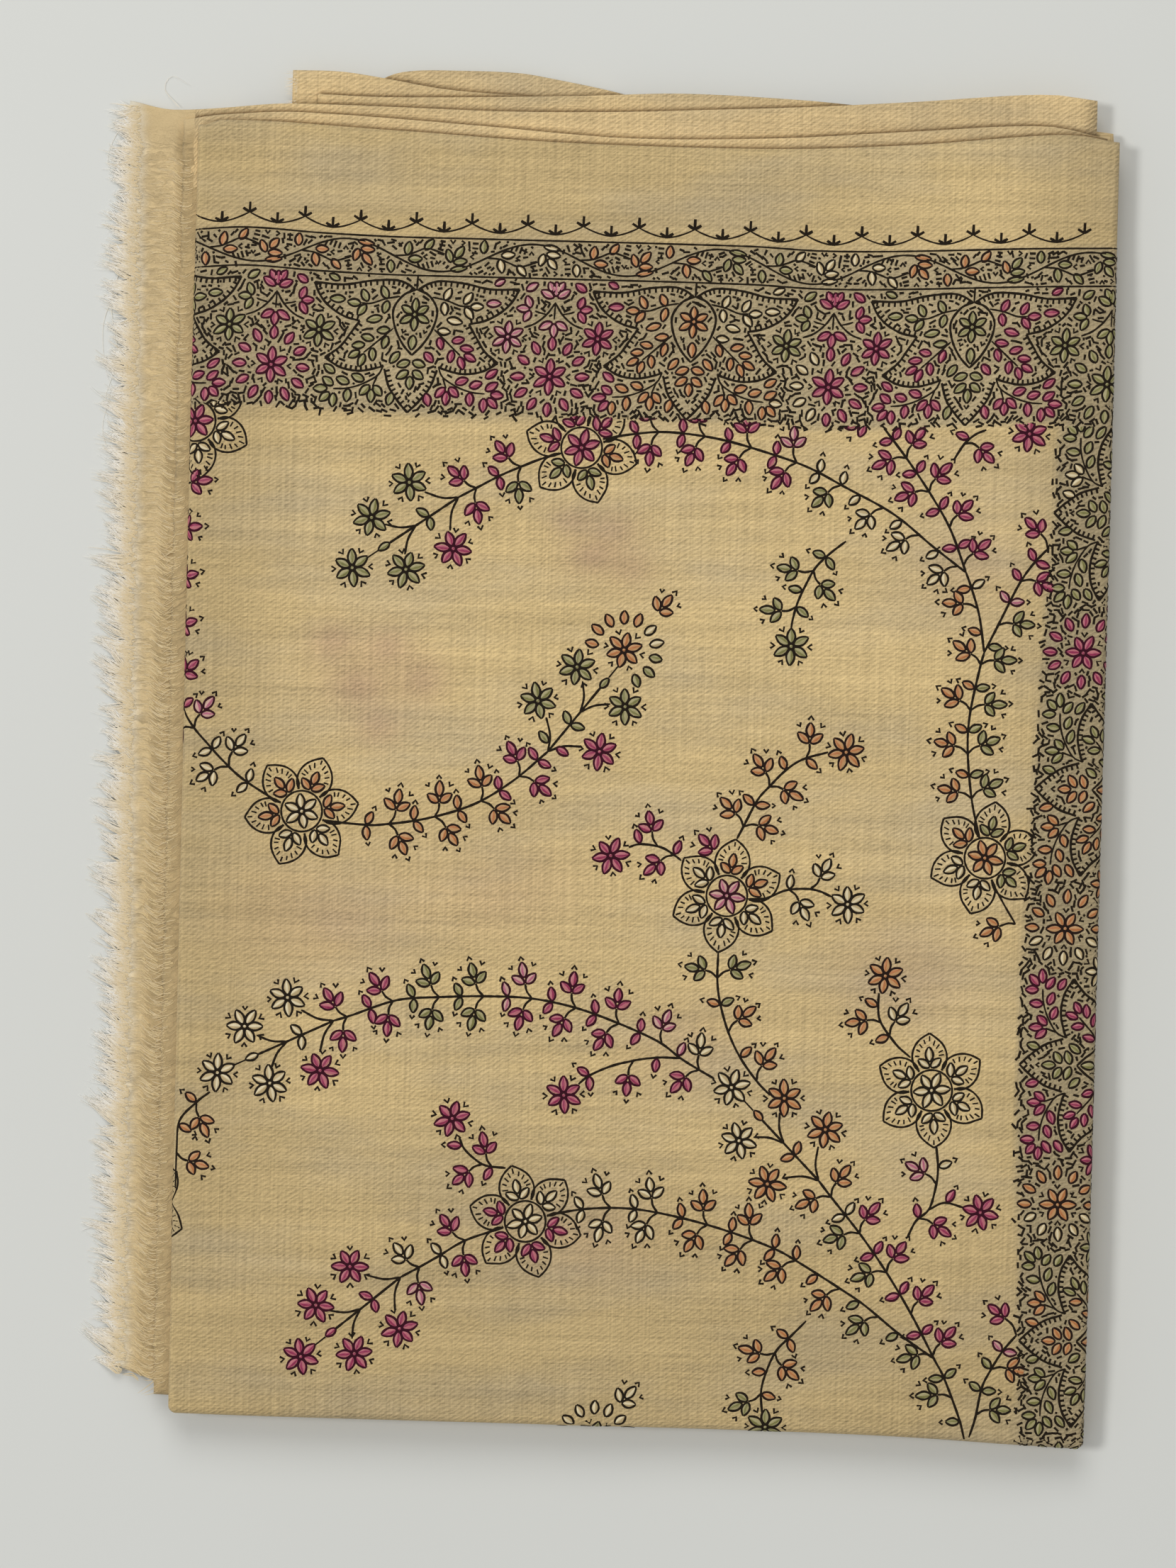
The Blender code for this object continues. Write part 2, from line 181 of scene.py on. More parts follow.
def stack_height(u, v):
    """Height of the packet's top."""
    side = np.minimum(u - panel_left(v), panel_right(v) - u)
    height = STACK_HEIGHT - SIDE_FALL * smooth(1 - side / SIDE_REACH)
    height = height - FRONT_FALL * smooth(1 - (v - PACKET_FRONT) / FRONT_REACH)
    height = height - BACK_FALL * smooth(1 - (PACKET_BACK - v) / BACK_REACH)
    for wave in WAVES:
        turns = u * wave["u_turns"] + v * wave["v_turns"] + wave["start"]
        height = height + wave["height"] * np.sin(2 * math.pi * turns)
    return height


def layer_height(layer):
    """The upper side of the cloth in the given layer, counted down from the top panel."""
    def height(u, v):
        z = stack_height(u, v) - layer * LAYER_STEP
        if layer == 0:
            return z
        z = z - DIP * smooth((DIP_FROM - u) / (DIP_FROM - DIP_TO))
        at_table = HANG_HEIGHT + (FRINGED_LAYER - layer) * LAYER_STEP
        return mix(z, at_table, smooth((HANG_FROM - u) / (HANG_FROM - HANG_TO)))
    return height


def panel_at(s, t, lift=0.0):
    """The place of cloth coordinates on the top panel and round its folds, lifted off the cloth."""
    left, right = panel_left(t) + FOLD_RADIUS, panel_right(t) - FOLD_RADIUS
    u = np.clip(s, left, right)
    v = np.maximum(t, panel_front(u) + FOLD_RADIUS)
    over_u, over_v = s - u, t - v
    past = np.hypot(over_u, over_v)
    turn = np.minimum(np.maximum(abs(over_u), abs(over_v)) / FOLD_RADIUS, FOLD_TURN)
    out = (FOLD_RADIUS + lift) * np.sin(turn) / np.maximum(past, 1e-9)
    z = stack_height(u, v) - FOLD_RADIUS + (FOLD_RADIUS + lift) * np.cos(turn)
    return np.stack([u + out * over_u, v + out * over_v, z], -1)


def stations(breaks, steps):
    """Places from the first break to the last, no further apart than each stretch's step."""
    places = [breaks[0]]
    for low, high, step in zip(breaks, breaks[1:], steps):
        count = max(1, math.ceil((high - low) / step))
        places += [mix(low, high, (i + 1) / count) for i in range(count)]
    return np.array(places)


def grid_faces(rows, columns, start=0):
    """The faces of a grid of points, facing up."""
    index = start + np.arange(rows * columns).reshape(rows, columns)
    corners = (index[:-1, :-1], index[:-1, 1:], index[1:, 1:], index[1:, :-1])
    return np.stack(corners, -1).reshape(-1, 4)


def new_piece(name, points, faces, material):
    """A piece from points in millimetres of the packet."""
    mesh = bpy.data.meshes.new(name)
    places = (np.asarray(points) + (shift_u, shift_v, 0.0)) * MM
    mesh.from_pydata(places.tolist(), [], [list(face) for face in faces])
    mesh.shade_smooth()
    mesh.materials.append(material)
    piece = bpy.data.objects.new(name, mesh)
    bpy.context.scene.collection.objects.link(piece)
    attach(piece, "root")
    return piece


def note(piece, name, values):
    """Keeps a value for each point, for the material to read."""
    values = np.asarray(values, dtype=np.float32)
    kind, field = ("FLOAT_VECTOR", "vector") if values.ndim == 2 else ("FLOAT", "value")
    attribute = piece.data.attributes.new(name, kind, "POINT")
    attribute.data.foreach_set(field, values.ravel())


def cloth_shell(name, points, cloth, material):
    """A sheet of cloth under a grid of points, with its cloth coordinates for the weave."""
    rows, columns = points.shape[:2]
    piece = new_piece(name, points.reshape(-1, 3), grid_faces(rows, columns), material)
    note(piece, "cloth", np.dstack([cloth, np.zeros((rows, columns))]).reshape(-1, 3))
    wall = piece.modifiers.new("wall", "SOLIDIFY")
    wall.thickness = SHELL * MM
    wall.offset = -1
    wall.use_even_offset = True
    return piece


# Materials


def tone(red, green, blue):
    """A colour from its 0 to 255 shades, as the light-linear numbers that the shaders take."""
    shades = [shade / 255 for shade in (red, green, blue)]
    linear = [s / 12.92 if s <= 0.04045 else ((s + 0.055) / 1.055) ** 2.4 for s in shades]
    return (*linear, 1.0)


class Shades:
    """A material's node tree, with short ways to add to it."""

    def __init__(self, name):
        self.material = bpy.data.materials.new(name)
        self.material.use_nodes = True
        self.tree = self.material.node_tree
        self.shader = self.tree.nodes["Principled BSDF"]

    def add(self, kind, inputs=(), **settings):
        """A new node of a kind, with its settings and what goes into it."""
        node = self.tree.nodes.new(kind)
        for key, value in settings.items():
            setattr(node, key, value)
        for key, value in dict(inputs).items():
            self.put(value, node.inputs[key])
        return node

    def put(self, value, socket):
        """Gives a socket a value, or links another node's output to it."""
        if isinstance(value, bpy.types.NodeSocket):
            self.tree.links.new(value, socket)
        else:
            socket.default_value = value

    def math(self, operation, first, second=0.0):
        return self.add("ShaderNodeMath", {0: first, 1: second}, operation=operation).outputs[0]

    def attribute(self, name, output):
        return self.add("ShaderNodeAttribute", attribute_name=name).outputs[output]

    def noise(self, vector, stretch, detail=2.0, rough=0.5):
        """Noise with so many cells to the millimetre each way."""
        scaled = self.add("ShaderNodeVectorMath", {0: vector, 1: stretch}, operation="MULTIPLY")
        return self.add(
            "ShaderNodeTexNoise",
            {"Vector": scaled.outputs[0], "Scale": 1.0, "Detail": detail, "Roughness": rough},
        ).outputs[0]

    def swing(self, noise, size):
        """A noise as a change round zero, of about the given size."""
        return self.math("MULTIPLY", self.math("SUBTRACT", noise, 0.5), size)

    def blend(self, first, second, share):
        """A colour between two, by how much it has of the second."""
        node = self.add("ShaderNodeMix", data_type="RGBA")
        self.put(share, node.inputs[0])
        self.put(first, node.inputs[6])
        self.put(second, node.inputs[7])
        return node.outputs[2]

    def scale(self, colour, factor):
        """A colour made lighter or darker by a factor."""
        node = self.add("ShaderNodeVectorMath", operation="SCALE")
        self.put(colour[:3] if isinstance(colour, tuple) else colour, node.inputs[0])
        self.put(factor, node.inputs["Scale"])
        return node.outputs[0]

    def sway(self, value, *changes):
        """A value with noises added to it, each as a change of its own size."""
        for change, size in changes:
            value = self.math("ADD", value, self.swing(change, size))
        return value

    def bump(self, height, strength, depth):
        """Raises the surface by a height, in depths given in millimetres."""
        inputs = {"Strength": strength, "Distance": depth * MM, "Height": height}
        self.put(self.add("ShaderNodeBump", inputs).outputs[0], self.shader.inputs["Normal"])

    def surface(self, colour, rough, specular, sheen=0.0, sheen_rough=0.5):
        """The finished material, with the surface's colour and how it shines."""
        self.put(colour, self.shader.inputs["Base Color"])
        for name, value in (("Roughness", rough), ("Specular IOR Level", specular),
                            ("Sheen Weight", sheen), ("Sheen Roughness", sheen_rough)):
            self.shader.inputs[name].default_value = value
        return self.material


# The twill's wales: millimetres from one to the next, and the angle they rise at
WALE_PITCH = 1.12
WALE_RISE = math.radians(32)

GREY_SLUB = tone(194, 175, 138)
LAYER_SHADE = tone(112, 84, 48)
# Browner, darker wool: painted shade in the valley beside the panel's left fold, where the wool's own tone is
# also browner, and between the core's folds
BROWN_TINT_AND_SHADE = tone(178, 153, 108)
FRAYED_WOOL = tone(238, 232, 214)


def cloth_material(name, colour, ground=None, tint=None):
    """Fine wool twill: wales rising to the right, slubs both ways, and a faint soft nap."""
    shades = Shades(name)
    place = shades.attribute("cloth", "Vector")
    fine = shades.noise(place, (2.4, 3.2, 1.0), 3.0, 0.65)
    across = (-math.sin(WALE_RISE) / WALE_PITCH, math.cos(WALE_RISE) / WALE_PITCH, 0.0)
    count = shades.add("ShaderNodeVectorMath", {0: place, 1: across}, operation="DOT_PRODUCT")
    drift = shades.swing(shades.noise(place, (0.35, 0.35, 1.0), 3.0), 1.5)
    turns = shades.math("ADD", count.outputs["Value"], drift)
    wale = shades.math("SINE", shades.math("MULTIPLY", turns, 2 * math.pi))
    turn = {"Vector": place, "Angle": -WALE_RISE}
    turned = shades.add("ShaderNodeVectorRotate", turn, rotation_type="Z_AXIS")
    floats = shades.noise(turned.outputs[0], (0.70, 1.7, 1.0), 2.0, 0.6)
    slub = shades.noise(place, (0.028, 2.2, 1.0), 3.0, 0.65)
    weft = shades.noise(place, (0.30, 3.0, 1.0))
    broad = shades.noise(place, (0.009, 0.20, 1.0))
    warp = shades.noise(place, (2.0, 0.020, 1.0))
    cloud = shades.noise(place, (0.016, 0.022, 1.0))
    light = shades.math("ADD", 1.0, shades.math("MULTIPLY", wale, 0.075))
    light = shades.sway(light, (fine, 0.34), (floats, 0.66), (slub, 0.72), (weft, 0.44), (broad, 0.42),
                        (warp, 0.50), (cloud, 0.24))
    streak = shades.noise(place, (0.017, 0.050, 1.0), 3.0, 0.55)
    grey = shades.math("MULTIPLY", shades.math("SUBTRACT", streak, 0.44), 4.0)
    grey.node.use_clamp = True
    base = shades.blend(colour, GREY_SLUB, shades.math("MULTIPLY", grey, 0.7))
    if tint:
        share = shades.math("MULTIPLY", shades.attribute("tint", "Fac"), cloud)
        base = shades.blend(base, tint, share)
    if ground:
        # Painted light and shade: the cloth's brightness is scaled up over the middle of the field and down
        # towards the folds
        light = shades.math("MULTIPLY", light, shades.attribute("painted_light", "Fac"))
        base = shades.blend(base, ground, shades.attribute("ground", "Fac"))
    else:
        base = shades.blend(base, LAYER_SHADE, shades.attribute("shaded", "Fac"))
    height = shades.math("MULTIPLY", wale, 0.6)
    shades.bump(shades.sway(height, (fine, 1.6), (floats, 3.2), (slub, 2.0)), 0.6, 0.17)
    return shades.surface(shades.scale(base, light), 0.82, 0.25, 0.12, 0.45)


def wool_material(name, colour):
    """Brushed wool: fine combed hairs that wander, browner and darker with painted shade in a valley and
    between folds, and paler where it frays.
    """
    shades = Shades(name)
    place = shades.attribute("cloth", "Vector")
    wander = shades.swing(shades.noise(place, (0.24, 0.40, 1.0)), 5.0)
    shift = shades.add("ShaderNodeCombineXYZ", {"Y": wander}).outputs[0]
    combed = shades.add("ShaderNodeVectorMath", {0: place, 1: shift}, operation="ADD").outputs[0]
    hair = shades.noise(combed, (0.15, 1.15, 1.0), 3.0, 0.65)
    tuft = shades.noise(combed, (0.40, 1.0, 1.0))
    fine = shades.noise(place, (2.2, 2.8, 1.0), 3.0, 0.65)
    broad = shades.noise(place, (0.05, 0.07, 1.0))
    brushed = shades.attribute("brushed", "Fac")
    combs = shades.math("ADD", shades.swing(hair, 1.15), shades.swing(tuft, 0.5))
    light = shades.math("ADD", 1.0, shades.math("MULTIPLY", combs, brushed))
    light = shades.sway(light, (fine, 0.34), (broad, 0.3))
    # Painted shade: browner, darker wool in the valley beside the panel's left fold and between the core's
    # folds, partly the wool's own browner tone
    base = shades.blend(colour, BROWN_TINT_AND_SHADE, shades.attribute("valley", "Fac"))
    base = shades.blend(base, FRAYED_WOOL, shades.attribute("frayed", "Fac"))
    height = shades.math("ADD", shades.swing(hair, 5.0), shades.swing(tuft, 4.0))
    height = shades.math("MULTIPLY", height, brushed)
    shades.bump(shades.sway(height, (fine, 1.6)), 0.6, 0.2)
    return shades.surface(shades.scale(base, light), 0.85, 0.2, 0.15, 0.45)


def thread_material(name, colour, pale):
    """Satin stitches: strong colour along each petal's middle, and paler beside it."""
    shades = Shades(name)
    place = shades.attribute("stitch", "Vector")
    parts = shades.add("ShaderNodeSeparateXYZ", {0: place})
    across = shades.math("ABSOLUTE", parts.outputs[1])
    grain = shades.noise(place, (0.8, 4.0, 1.0))
    beside = shades.math("SUBTRACT", shades.math("MULTIPLY", across, 2.1), 0.35)
    base = shades.blend(colour, pale, shades.sway(beside, (grain, 1.6)))
    shades.bump(grain, 0.7, 0.12)
    return shades.surface(shades.scale(base, shades.sway(1.0, (grain, 0.8))), 0.45, 0.5)


def ink_material():
    """Dark outline stitches, a little uneven along their length."""
    shades = Shades("ink_thread")
    place = shades.attribute("stitch", "Vector")
    uneven = shades.noise(place, (2.2, 2.2, 0.0), 3.0)
    parts = shades.add("ShaderNodeSeparateXYZ", {0: place})
    base = shades.blend(tone(22, 17, 11), tone(48, 38, 25), shades.math("MULTIPLY", uneven, 0.9))
    base = shades.blend(base, tone(64, 14, 34), shades.math("MULTIPLY", parts.outputs[2], 0.85))
    shades.bump(uneven, 0.6, 0.08)
    return shades.surface(base, 0.75, 0.1)


def yarn_material():
    """Loose wool yarn: cloth-coloured at its root and paler where it frays."""
    shades = Shades("fringe_wool")
    place = shades.attribute("stitch", "Vector")
    parts = shades.add("ShaderNodeSeparateXYZ", {0: place})
    uneven = shades.noise(place, (1.2, 3.0, 1.0))
    base = shades.blend(tone(226, 202, 152), tone(253, 252, 247), parts.outputs[1])
    light = shades.sway(1.0, (uneven, 0.4))
    return shades.surface(shades.scale(base, light), 0.85, 0.15, 0.2)


# Embroidery, worked flat in cloth coordinates


class Stitches:
    """Stitches of one thread, laid out on the flat cloth and carried onto it at the end."""

    def __init__(self):
        self.places, self.lifts, self.stitch, self.dyes, self.faces = [], [], [], [], []
        self.count = 0

    def lay(self, places, lifts, stitch, dye=0.0):
        """Lays a grid of points, given in the cloth's flat millimetres."""
        rows, columns = places.shape[:2]
        first, second = places[1, 0] - places[0, 0], places[0, 1] - places[0, 0]
        faces = grid_faces(rows, columns, self.count)
        if second[0] * first[1] - second[1] * first[0] < 0:
            faces = faces[:, ::-1]
        self.places.append(places.reshape(-1, 2))
        self.lifts.append(np.broadcast_to(lifts, (rows, columns)).ravel())
        self.stitch.append(stitch.reshape(-1, 2))
        self.dyes.append(np.full(rows * columns, dye))
        self.faces.append(faces)
        self.count += rows * columns

    def take(self, other):
        """Adds another's stitches to these."""
        self.places += other.places
        self.lifts += other.lifts
        self.stitch += other.stitch
        self.dyes += other.dyes
        self.faces += [faces + self.count for faces in other.faces]
        self.count += other.count

    def keep(self, inside, first=0):
        """Leaves out what lies outside, of what was laid from the given batch on."""
        places = np.concatenate(self.places)
        for k in range(first, len(self.faces)):
            middles = places[self.faces[k]].mean(axis=1)
            self.faces[k] = self.faces[k][inside(*middles.T)]

    def make(self, name, material):
        """The piece, without what would lie past the panel's folds and back edge."""
        places = np.concatenate(self.places)
        lifts = np.concatenate(self.lifts)
        stitch = np.concatenate(self.stitch)
        faces = np.concatenate(self.faces)
        s, t = places.T
        seen = (s > panel_left(t) - UNDER_FOLD) & (s < panel_right(t) + UNDER_FOLD)
        seen &= (t > panel_front(s) - UNDER_FOLD) & (t < panel_back(s) - 0.5)
        faces = faces[seen[faces].all(axis=1)]
        kept, faces = np.unique(faces, return_inverse=True)
        faces = faces.reshape(-1, 4)
        points = panel_at(s[kept], t[kept], lifts[kept])
        piece = new_piece(name, points, faces, material)
        note(piece, "stitch", np.column_stack([stitch[kept], np.concatenate(self.dyes)[kept]]))
        return piece


ink = {"border": Stitches(), "field": Stitches()}
threads = {name: Stitches() for name in ("magenta", "pink", "peach", "olive", "cream")}
THREAD_OF = {"m": "magenta", "k": "pink", "p": "peach", "o": "olive", "c": "cream"}
# How much of the magenta dye is in the dark outline of each thread's petals
OUTLINE_DYES = {"magenta": 1.0, "pink": 0.75, "peach": 0.15, "olive": 0.0, "cream": 0.0}
pen = {"ink": ink["field"], "lay": lambda points: points}
draw = random.Random(7)


def toward(angle, distance):
    return np.array((math.cos(angle), math.sin(angle))) * distance


def rounded(points, step=0.8, closed=False):
    """A smooth line through a few points, with even short steps."""
    points = np.asarray(points, float)
    ring = np.vstack([points[-1:], points, points[:2]]) if closed else np.vstack(
        [2 * points[:1] - points[1:2], points, 2 * points[-1:] - points[-2:-1]]
    )
    line = []
    for before, low, high, after in zip(ring, ring[1:], ring[2:], ring[3:]):
        count = max(1, math.ceil(np.linalg.norm(high - low) / step))
        w = (np.arange(count) / count)[:, None]
        line.append(
            0.5 * (2 * low + (high - before) * w
                   + (2 * before - 5 * low + 4 * high - after) * w**2
                   + (3 * low - before - 3 * high + after) * w**3)
        )
    return np.vstack([*line, ring[-2:-1]])


def stroke(points, width=INK_WIDTH, taper=TAPER, dye=0.0):
    """An outline stitch along a line of points, in the pen's millimetres."""
    line = pen["lay"](np.asarray(points, float))
    along = np.gradient(line, axis=0)
    along /= np.maximum(np.linalg.norm(along, axis=1, keepdims=True), 1e-9)
    side = np.column_stack([-along[:, 1], along[:, 0]])
    half = np.array([0.5 * width * draw.uniform(0.85, 1.15) for _ in line])
    half[[0, -1]] *= taper
    half = half[:, None]
    grid = np.stack([line - side * half, line, line + side * half], 1)
    lifts = np.tile((0.02, INK_HEIGHT, 0.02), (len(line), 1))
    pen["ink"].lay(grid, lifts, grid, dye)


def tick(at, angle, arm):
    """A small v with its point at a place, opening along the angle."""
    arm = arm * draw.uniform(0.9, 1.1)
    spread = 0.62
    stroke([at + toward(angle + spread, arm), at, at + toward(angle - spread, arm)], 0.7, SHORT_TAPER)


def dash(at, angle, length):
    half = toward(angle, 0.5 * length)
    stroke([at - half, at + half], 0.74, SHORT_TAPER)


def petal(base, angle, colour, length, width):
    """An almond-shaped petal: an outline, and satin stitches a little astray within it."""
    angle += draw.uniform(-0.06, 0.06)
    length *= draw.uniform(0.94, 1.06)
    ahead, side = toward(angle, 1.0), toward(angle + math.pi / 2, 1.0)
    share = np.linspace(0, 1, 8)
    middle = base + ahead * (share * length)[:, None]
    half = side * (0.5 * width * np.sin(math.pi * share**0.92) ** 0.8)[:, None]
    for edge in (middle + half, (middle - half)[::-1]):
        stroke(edge, INK_WIDTH, 0.9, OUTLINE_DYES[colour])
    satin(base, angle, colour, length, width - 0.55)


def satin(base, angle, colour, length, width):
    """Satin stitches that fill an almond shape, in threads that run along it."""
    ahead, side = toward(angle, 1.0), toward(angle + math.pi / 2, 1.0)
    rows = np.linspace(0.10, 0.97 + draw.uniform(-0.03, 0.06), 7)
    breadth = 0.5 * width * np.sin(math.pi * np.clip(rows, 0.1, 0.92) ** 0.92)
    columns = np.linspace(-1, 1, 5)
    start = base + side * draw.uniform(-0.14, 0.14)
    grid = start + ahead * (rows * length)[:, None, None] + side * (breadth[:, None] * columns)[:, :, None]
    dome = PETAL_HEIGHT * np.sin(math.pi * np.clip(rows, 0.1, 0.9))[:, None] * (1 - columns**2)
    where = np.stack([np.broadcast_to(rows[:, None] * length, dome.shape) + draw.uniform(0, 90),
                      np.broadcast_to(columns + draw.uniform(-0.55, 0.55), dome.shape)], -1)
    threads[colour].lay(pen["lay"](grid), dome + 0.02, where)


def flower(centre, colour, turn=0.0, reach=5.0, ticks=True):
    """Six petals round a point, with small v's between their tips."""
    for k in range(6):
        angle = turn + k * math.pi / 3
        petal(centre + toward(angle, 0.7), angle, colour, reach - 0.7, 0.44 * reach)
        if ticks:
            middle = angle + math.pi / 6
            tick(centre + toward(middle, reach * 0.9), middle, 1.3)
    knot = [centre + toward(k * math.pi / 3, 0.62) for k in range(6)]
    stroke(rounded(knot, 0.6, closed=True), SPRIG_WIDTH, NO_TAPER, OUTLINE_DYES[colour])
    satin(centre - toward(turn, 0.5), turn, colour, 1.0, 0.9)


def bud(base, angle, colour, size=1.0, ticks=True):
    """Three petals from a point, with v's between their tips and a cap over the middle one."""
    petal(base + toward(angle, 1.7 * size), angle, colour, 4.1 * size, 2.15 * size)
    for side in (-1, 1):
        lean = angle + side * 1.02
        petal(base + toward(lean, 0.25 * size), lean - side * 0.1, colour, 3.9 * size, 2.1 * size)
        if ticks:
            middle = angle + side * 0.56
            tick(base + toward(middle, 5.3 * size), middle, 1.15)
    if ticks:
        tick(base + toward(angle, 7.4 * size), angle + math.pi, 1.2)


def leaf(base, angle, colour, cap=True):
    """One petal by a stem, and the small cap beyond its tip."""
    petal(base, angle, colour, LEAF_LENGTH, LEAF_WIDTH)
    if cap:
        tick(base + toward(angle, LEAF_LENGTH + 1.6), angle + math.pi, 1.15)


# A medallion's ring, the middle of each outlined petal, half its outline as places ahead and to the
# side, and where its rim ticks are, as shares of that outline
MEDALLION_RING, MEDALLION_MIDDLE = 5.5, 9.0
MEDALLION_EDGE = ((5.3, 2.9), (6.4, 4.0), (8.2, 4.6), (10.2, 4.55), (12.3, 3.7), (14.1, 2.0), (15.4, 0.0))
MEDALLION_TICKS = (0.40, 0.55, 0.70, 0.85)


def medallion(centre, letters, heart, degrees):
    """A ringed flower inside six outlined petals, each with a bud and ticks along its rim."""
    turn = math.radians(degrees)
    ring = [centre + toward(k * math.pi / 8, MEDALLION_RING) for k in range(16)]
    stroke(rounded(ring, closed=True), RING_WIDTH, NO_TAPER)
    flower(centre, heart, turn + math.pi / 6, 4.9, ticks=False)
    for k in range(6):
        angle = turn + k * math.pi / 3
        ahead, side = toward(angle, 1.0), toward(angle + math.pi / 2, 1.0)
        middle = centre + ahead * MEDALLION_MIDDLE
        tip = centre + ahead * MEDALLION_EDGE[-1][0] + side * draw.uniform(-0.7, 0.7)
        for sign in (-1, 1):
            edge = [centre + ahead * out + side * wide * sign for out, wide in MEDALLION_EDGE[:-1]]
            edge = rounded([*edge, tip])
            stroke(edge, RING_WIDTH, NO_TAPER)
            for share in MEDALLION_TICKS:
                rim_tick(edge[int(share * (len(edge) - 1))], middle)
        rim_tick(tip, middle)
        bud(centre + ahead * 6.1, angle, THREAD_OF[letters[k]], 0.95, ticks=False)


def rim_tick(at, aim):
    """A short stitch inside an outline, from near a point of it towards an aim."""
    inward = (aim - at) / np.linalg.norm(aim - at)
    stroke([at + inward * 0.75, at + inward * draw.uniform(1.9, 2.3)], 0.52, SHORT_TAPER)


def rosette(centre, degrees, colour, letters):
    """A flower inside an open ring of separate petals, facing in degrees from the right."""
    flower(centre, colour, 0.3)
    for k, letter in enumerate(letters):
        angle = math.radians(degrees + 118 - k * 236 / (len(letters) - 1))
        petal(centre + toward(angle, 7.0), angle, THREAD_OF[letter], 3.8, 2.15)


# The vines of the field


def chart(x, y):
    """A point of the vines' chart, in cloth millimetres."""
    return np.array((
        CHART_SQUARE * (x + CHART_LEAN * y) + CHART_LEFT,
        CHART_SQUARE * (CHART_LEAN * x - y) + CHART_TOP,
    ))


def stub(at, heading, side, colour):
    """A short bent stalk from a stem, and its bud."""
    reach = draw.uniform(3.9, 4.4)
    end = at + toward(heading + side * 1.0, reach)
    middle = at + toward(heading + side * 0.8, reach * 0.55)
    stroke(rounded([at, middle, end]), STALK_WIDTH)
    bud(end, heading + side * draw.uniform(1.18, 1.42), colour)


def vine(path, marks, start, end):
    """A stem that grows along a path of the chart, and what it bears at even steps.

    Each mark tells its left side and its right one: a capital is a bud, a small letter a leaf, in
    the thread that the letter stands for, and a dash is nothing.
    """
    line = rounded([chart(*point) for point in path], 1.0)
    stroke(line, STEM_WIDTH)
    far = np.concatenate([[0], np.cumsum(np.linalg.norm(np.diff(line, axis=0), axis=1))])
    marks = marks.split()
    for k, mark in enumerate(marks):
        place = mix(start, far[-1] - end, k / max(1, len(marks) - 1))
        i = min(int(np.searchsorted(far, place)), len(line) - 2)
        ahead = line[i + 1] - line[i]
        heading = math.atan2(ahead[1], ahead[0])
        for side, letter in zip((1, -1), mark):
            if letter.isupper():
                stub(line[i], heading, side, THREAD_OF[letter.lower()])
            elif letter != "-":
                lean = heading + side * draw.uniform(1.05, 1.4)
                leaf(line[i] + toward(lean, 0.3), lean, THREAD_OF[letter])


def branch(path, colour):
    """A bare stem from a vine to a flower at its end."""
    line = rounded([chart(*point) for point in path], 1.0)
    away = line[-1] - line[-2]
    stroke(line, STEM_WIDTH)
    flower(line[-1] + 4.8 * away / np.linalg.norm(away), colour, draw.uniform(0, 1))


def spray(at, degrees, letters, leaves, end=True):
    """The end of a vine: two pairs of flowers on bent stalks, and one flower at the tip.

    The letters give the threads of the near pair, left and right, of the far pair and of the tip.
    """
    root, angle = chart(*at), math.radians(degrees)

    def place(ahead, side):
        return root + toward(angle, ahead) + toward(angle + math.pi / 2, side)

    for near, pair in ((0.0, letters[:2]), (13.7, letters[2:4])):
        wide = 1.0 if near == 0 else 0.78
        for side, letter in zip((1, -1), pair):
            out = side * wide
            stalk = [place(near, 0), place(near + 3.7, 2.3 * out), place(near + 6.8, 6.2 * out)]
            stroke(rounded(stalk), STALK_WIDTH)
            flower(place(near + 8.8, 10.7 * out), THREAD_OF[letter], draw.uniform(0, 1))
    stroke(rounded([place(0, 0), place(13.7, 0), place(22.5, 0)]), STEM_WIDTH)
    for side in (1, -1):
        leaf(place(9.4, 0.2 * side), angle + side * 1.1, THREAD_OF[leaves], cap=False)
    petal(place(22.2, 0), angle, THREAD_OF[leaves], 3.6, 1.8)
    stroke([place(25.8, 0), place(29.8, 0)], STEM_WIDTH)
    if end:
        flower(place(34.3, 0), THREAD_OF[letters[4]], angle)


def lone_bud(x, y, degrees, colour, stalk=None):
    """A bud on a point of the chart, facing in degrees from the right, with the way of its stalk."""
    base = chart(x, y)
    if stalk:
        stroke(rounded([*(chart(*point) for point in stalk), base]), STALK_WIDTH)
    bud(base, math.radians(degrees), colour)


